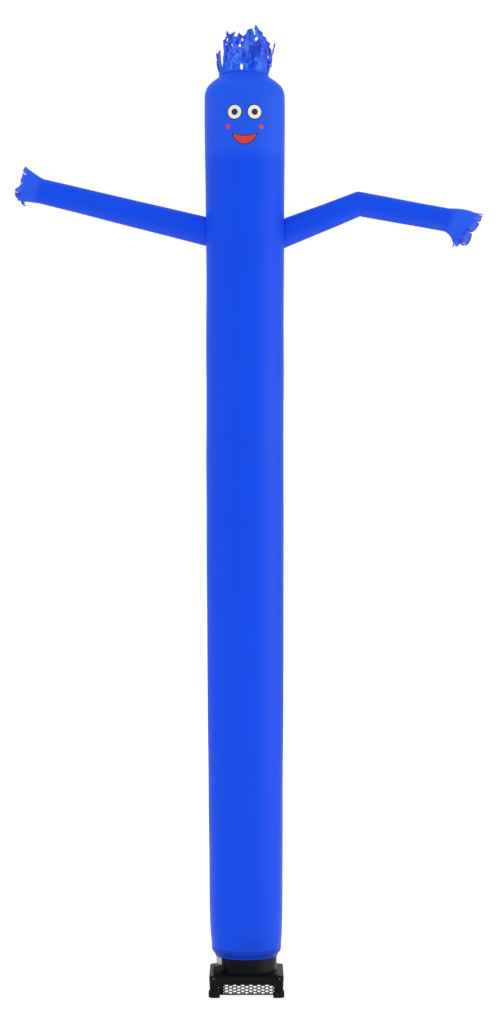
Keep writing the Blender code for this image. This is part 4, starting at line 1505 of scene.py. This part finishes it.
def build_blower():
    steel = coated_steel("steel_black", (0.0030, 0.0033, 0.0040), 0.38, 650.0)
    mesh_steel = coated_steel("mesh_black", (0.0030, 0.0030, 0.0036), 0.36, 900.0)
    screw = brushed("screw_steel", (0.12, 0.12, 0.12))
    plastic = moulded("plastic_black", (0.0060, 0.0060, 0.0065), 0.46, 1500.0, 0.0002)
    build_housing(steel)
    build_drum(steel)
    build_drum_fittings(steel, paper("patch_paper", (0.50, 0.50, 0.50)))
    build_rivets(screw)
    for side in range(len(SIDES)):
        build_grille(side, mesh_steel)
    finish_packed({
        "foot_": moulded("rubber_black", (0.0050, 0.0050, 0.0055), 0.72, 1100.0, 0.0003),
        "switch_box": plastic,
        "cord_gland": plastic,
        "rocker": moulded("plastic_red", (0.0300, 0.0070, 0.0110), 0.26, 600.0, 0.0001),
        "screw_": screw,
    })


# ------------------------------------------------------------- studio

CAMERA_AWAY = 15.0
CAMERA_HEIGHT = 2.874
CAMERA_SHIFT = 0.018
SENSOR = 36.0
LONG_SIDE = 1024
FOCAL_PIXELS = 2500
WORLD_LIGHT = 0.88
FLOOR_GLOW = 0.90        # what the camera sees of the floor in full shadow
FLOOR_SHADE = 0.35       # and how much of the light adds to it
FLOOR_RADIUS = 60
MIDDLE = (0, 0, 2.9)

# The lights, with their size in metres and power in watts. Those for gloss only show in
# reflections and add no light of their own to a matt surface.
Light = namedtuple("Light", "name place aim size power gloss_only")
LIGHTS = (
    Light("soft_left", (-6.0, -2.5, 3.6), MIDDLE, (2.2, 6.5), 40, False),
    Light("soft_right", (6.0, -1.5, 3.6), MIDDLE, (2.2, 6.5), 70, False),
    Light("soft_top", (0.0, -4.5, 8.5), (0, 0, 4.2), (5.0, 3.0), 40, False),
    Light("soft_low", (0.0, -6.0, 1.2), (0, 0, 1.2), (3.0, 2.0), 20, False),
    Light("shine_right", (6.0, -1.2, 3.0), MIDDLE, (6.0, 6.0), 380, True),
    Light("shine_low", (0.0, 0.0, 0.05), (0, 0, 5), (12.0, 12.0), 420, True),
    Light("shine_arm", (-1.05, -0.2, 3.0), (-1.8, -0.2, 5), (0.8, 1.8), 12, True),
    Light("shine_arm", (1.05, -0.2, 3.0), (1.8, -0.2, 5), (0.8, 1.8), 20, True),
)


def add_camera():
    data = bpy.data.cameras.new("camera")
    data.sensor_width = SENSOR
    data.lens = SENSOR * FOCAL_PIXELS / LONG_SIDE
    data.clip_end = 200
    camera = add_object("camera", data)
    camera.location = (CAMERA_SHIFT, -CAMERA_AWAY, CAMERA_HEIGHT)
    camera.rotation_euler = (math.pi / 2, 0, 0)
    bpy.context.scene.camera = camera


def add_light(setup):
    data = bpy.data.lights.new(setup.name, "AREA")
    data.shape = "RECTANGLE"
    data.size, data.size_y = setup.size
    data.energy = setup.power
    light = add_object(setup.name, data)
    light.visible_camera = False
    light.visible_diffuse = not setup.gloss_only
    light.location = setup.place
    light.rotation_euler = (Vector(setup.aim) - light.location).to_track_quat("-Z", "Y").to_euler()


def show_camera(tree, seen, plain, output):
    """Show one shader to the camera, and the plain one to all other light."""
    is_camera = node(tree, "ShaderNodeLightPath").outputs["Is Camera Ray"]
    mix = node(tree, "ShaderNodeMixShader", {0: is_camera, 1: plain.outputs[0], 2: seen.outputs[0]})
    feed(tree, mix.outputs[0], output.inputs["Surface"])


def add_world():
    """A soft even light from all round, which the camera sees as plain white."""
    world = bpy.data.worlds.new("studio")
    world.use_nodes = True
    tree = world.node_tree
    tree.nodes.clear()
    light = node(tree, "ShaderNodeBackground", {"Color": (0.93, 0.96, 1.0), "Strength": WORLD_LIGHT})
    white = node(tree, "ShaderNodeBackground", {"Color": (1.0, 1.0, 1.0), "Strength": 1.0})
    show_camera(tree, white, light, node(tree, "ShaderNodeOutputWorld"))
    bpy.context.scene.world = world


def add_floor():
    """A pale floor that the camera sees as almost plain white, with a faint shadow."""
    material, tree, shader = blank_material("floor_white", (0.85, 0.85, 0.85), 0.7)
    glow = node(tree, "ShaderNodeEmission", {"Strength": FLOOR_GLOW})
    matt = node(tree, "ShaderNodeBsdfDiffuse", {"Color": (FLOOR_SHADE, FLOOR_SHADE, FLOOR_SHADE)})
    seen = node(tree, "ShaderNodeAddShader", {0: glow.outputs[0], 1: matt.outputs[0]})
    show_camera(tree, seen, shader, tree.nodes["Material Output"])
    shape = bmesh.new()
    bmesh.ops.create_circle(shape, cap_ends=True, segments=96, radius=FLOOR_RADIUS)
    mesh = bpy.data.meshes.new("floor")
    shape.to_mesh(mesh)
    shape.free()
    mesh.materials.append(material)
    floor = add_object("floor", mesh)
    floor.location.z = -0.0005


def build_studio():
    add_camera()
    add_world()
    add_floor()
    for setup in LIGHTS:
        add_light(setup)
    bpy.context.scene.view_settings.view_transform = "Standard"


# --------------------------------------------------------------- build

def build():
    # After the cloth's colour come those of edges paled by wear and painted glow, of the painted highlight
    # and of the painted shade.
    blue = nylon("nylon_blue", (0.0045, 0.0720, 0.790), (0.160, 0.135, 0.820),
                 (0.080, 0.260, 0.900), (0.003, 0.034, 0.350))
    sewing = thread("thread_blue", (0.008, 0.070, 0.740))
    stitches = build_stitches(sewing)
    face = build_face(ink("ink_white", (0.80, 0.80, 0.79)), ink("ink_black", (0.006, 0.007, 0.012)),
                      ink("ink_red", (0.70, 0.020, 0.018)))
    tube = build_tube(blue)
    for side in ("left", "right"):
        build_arm(side, blue)
    build_fringes(blue)
    build_blower()
    build_studio()


build()
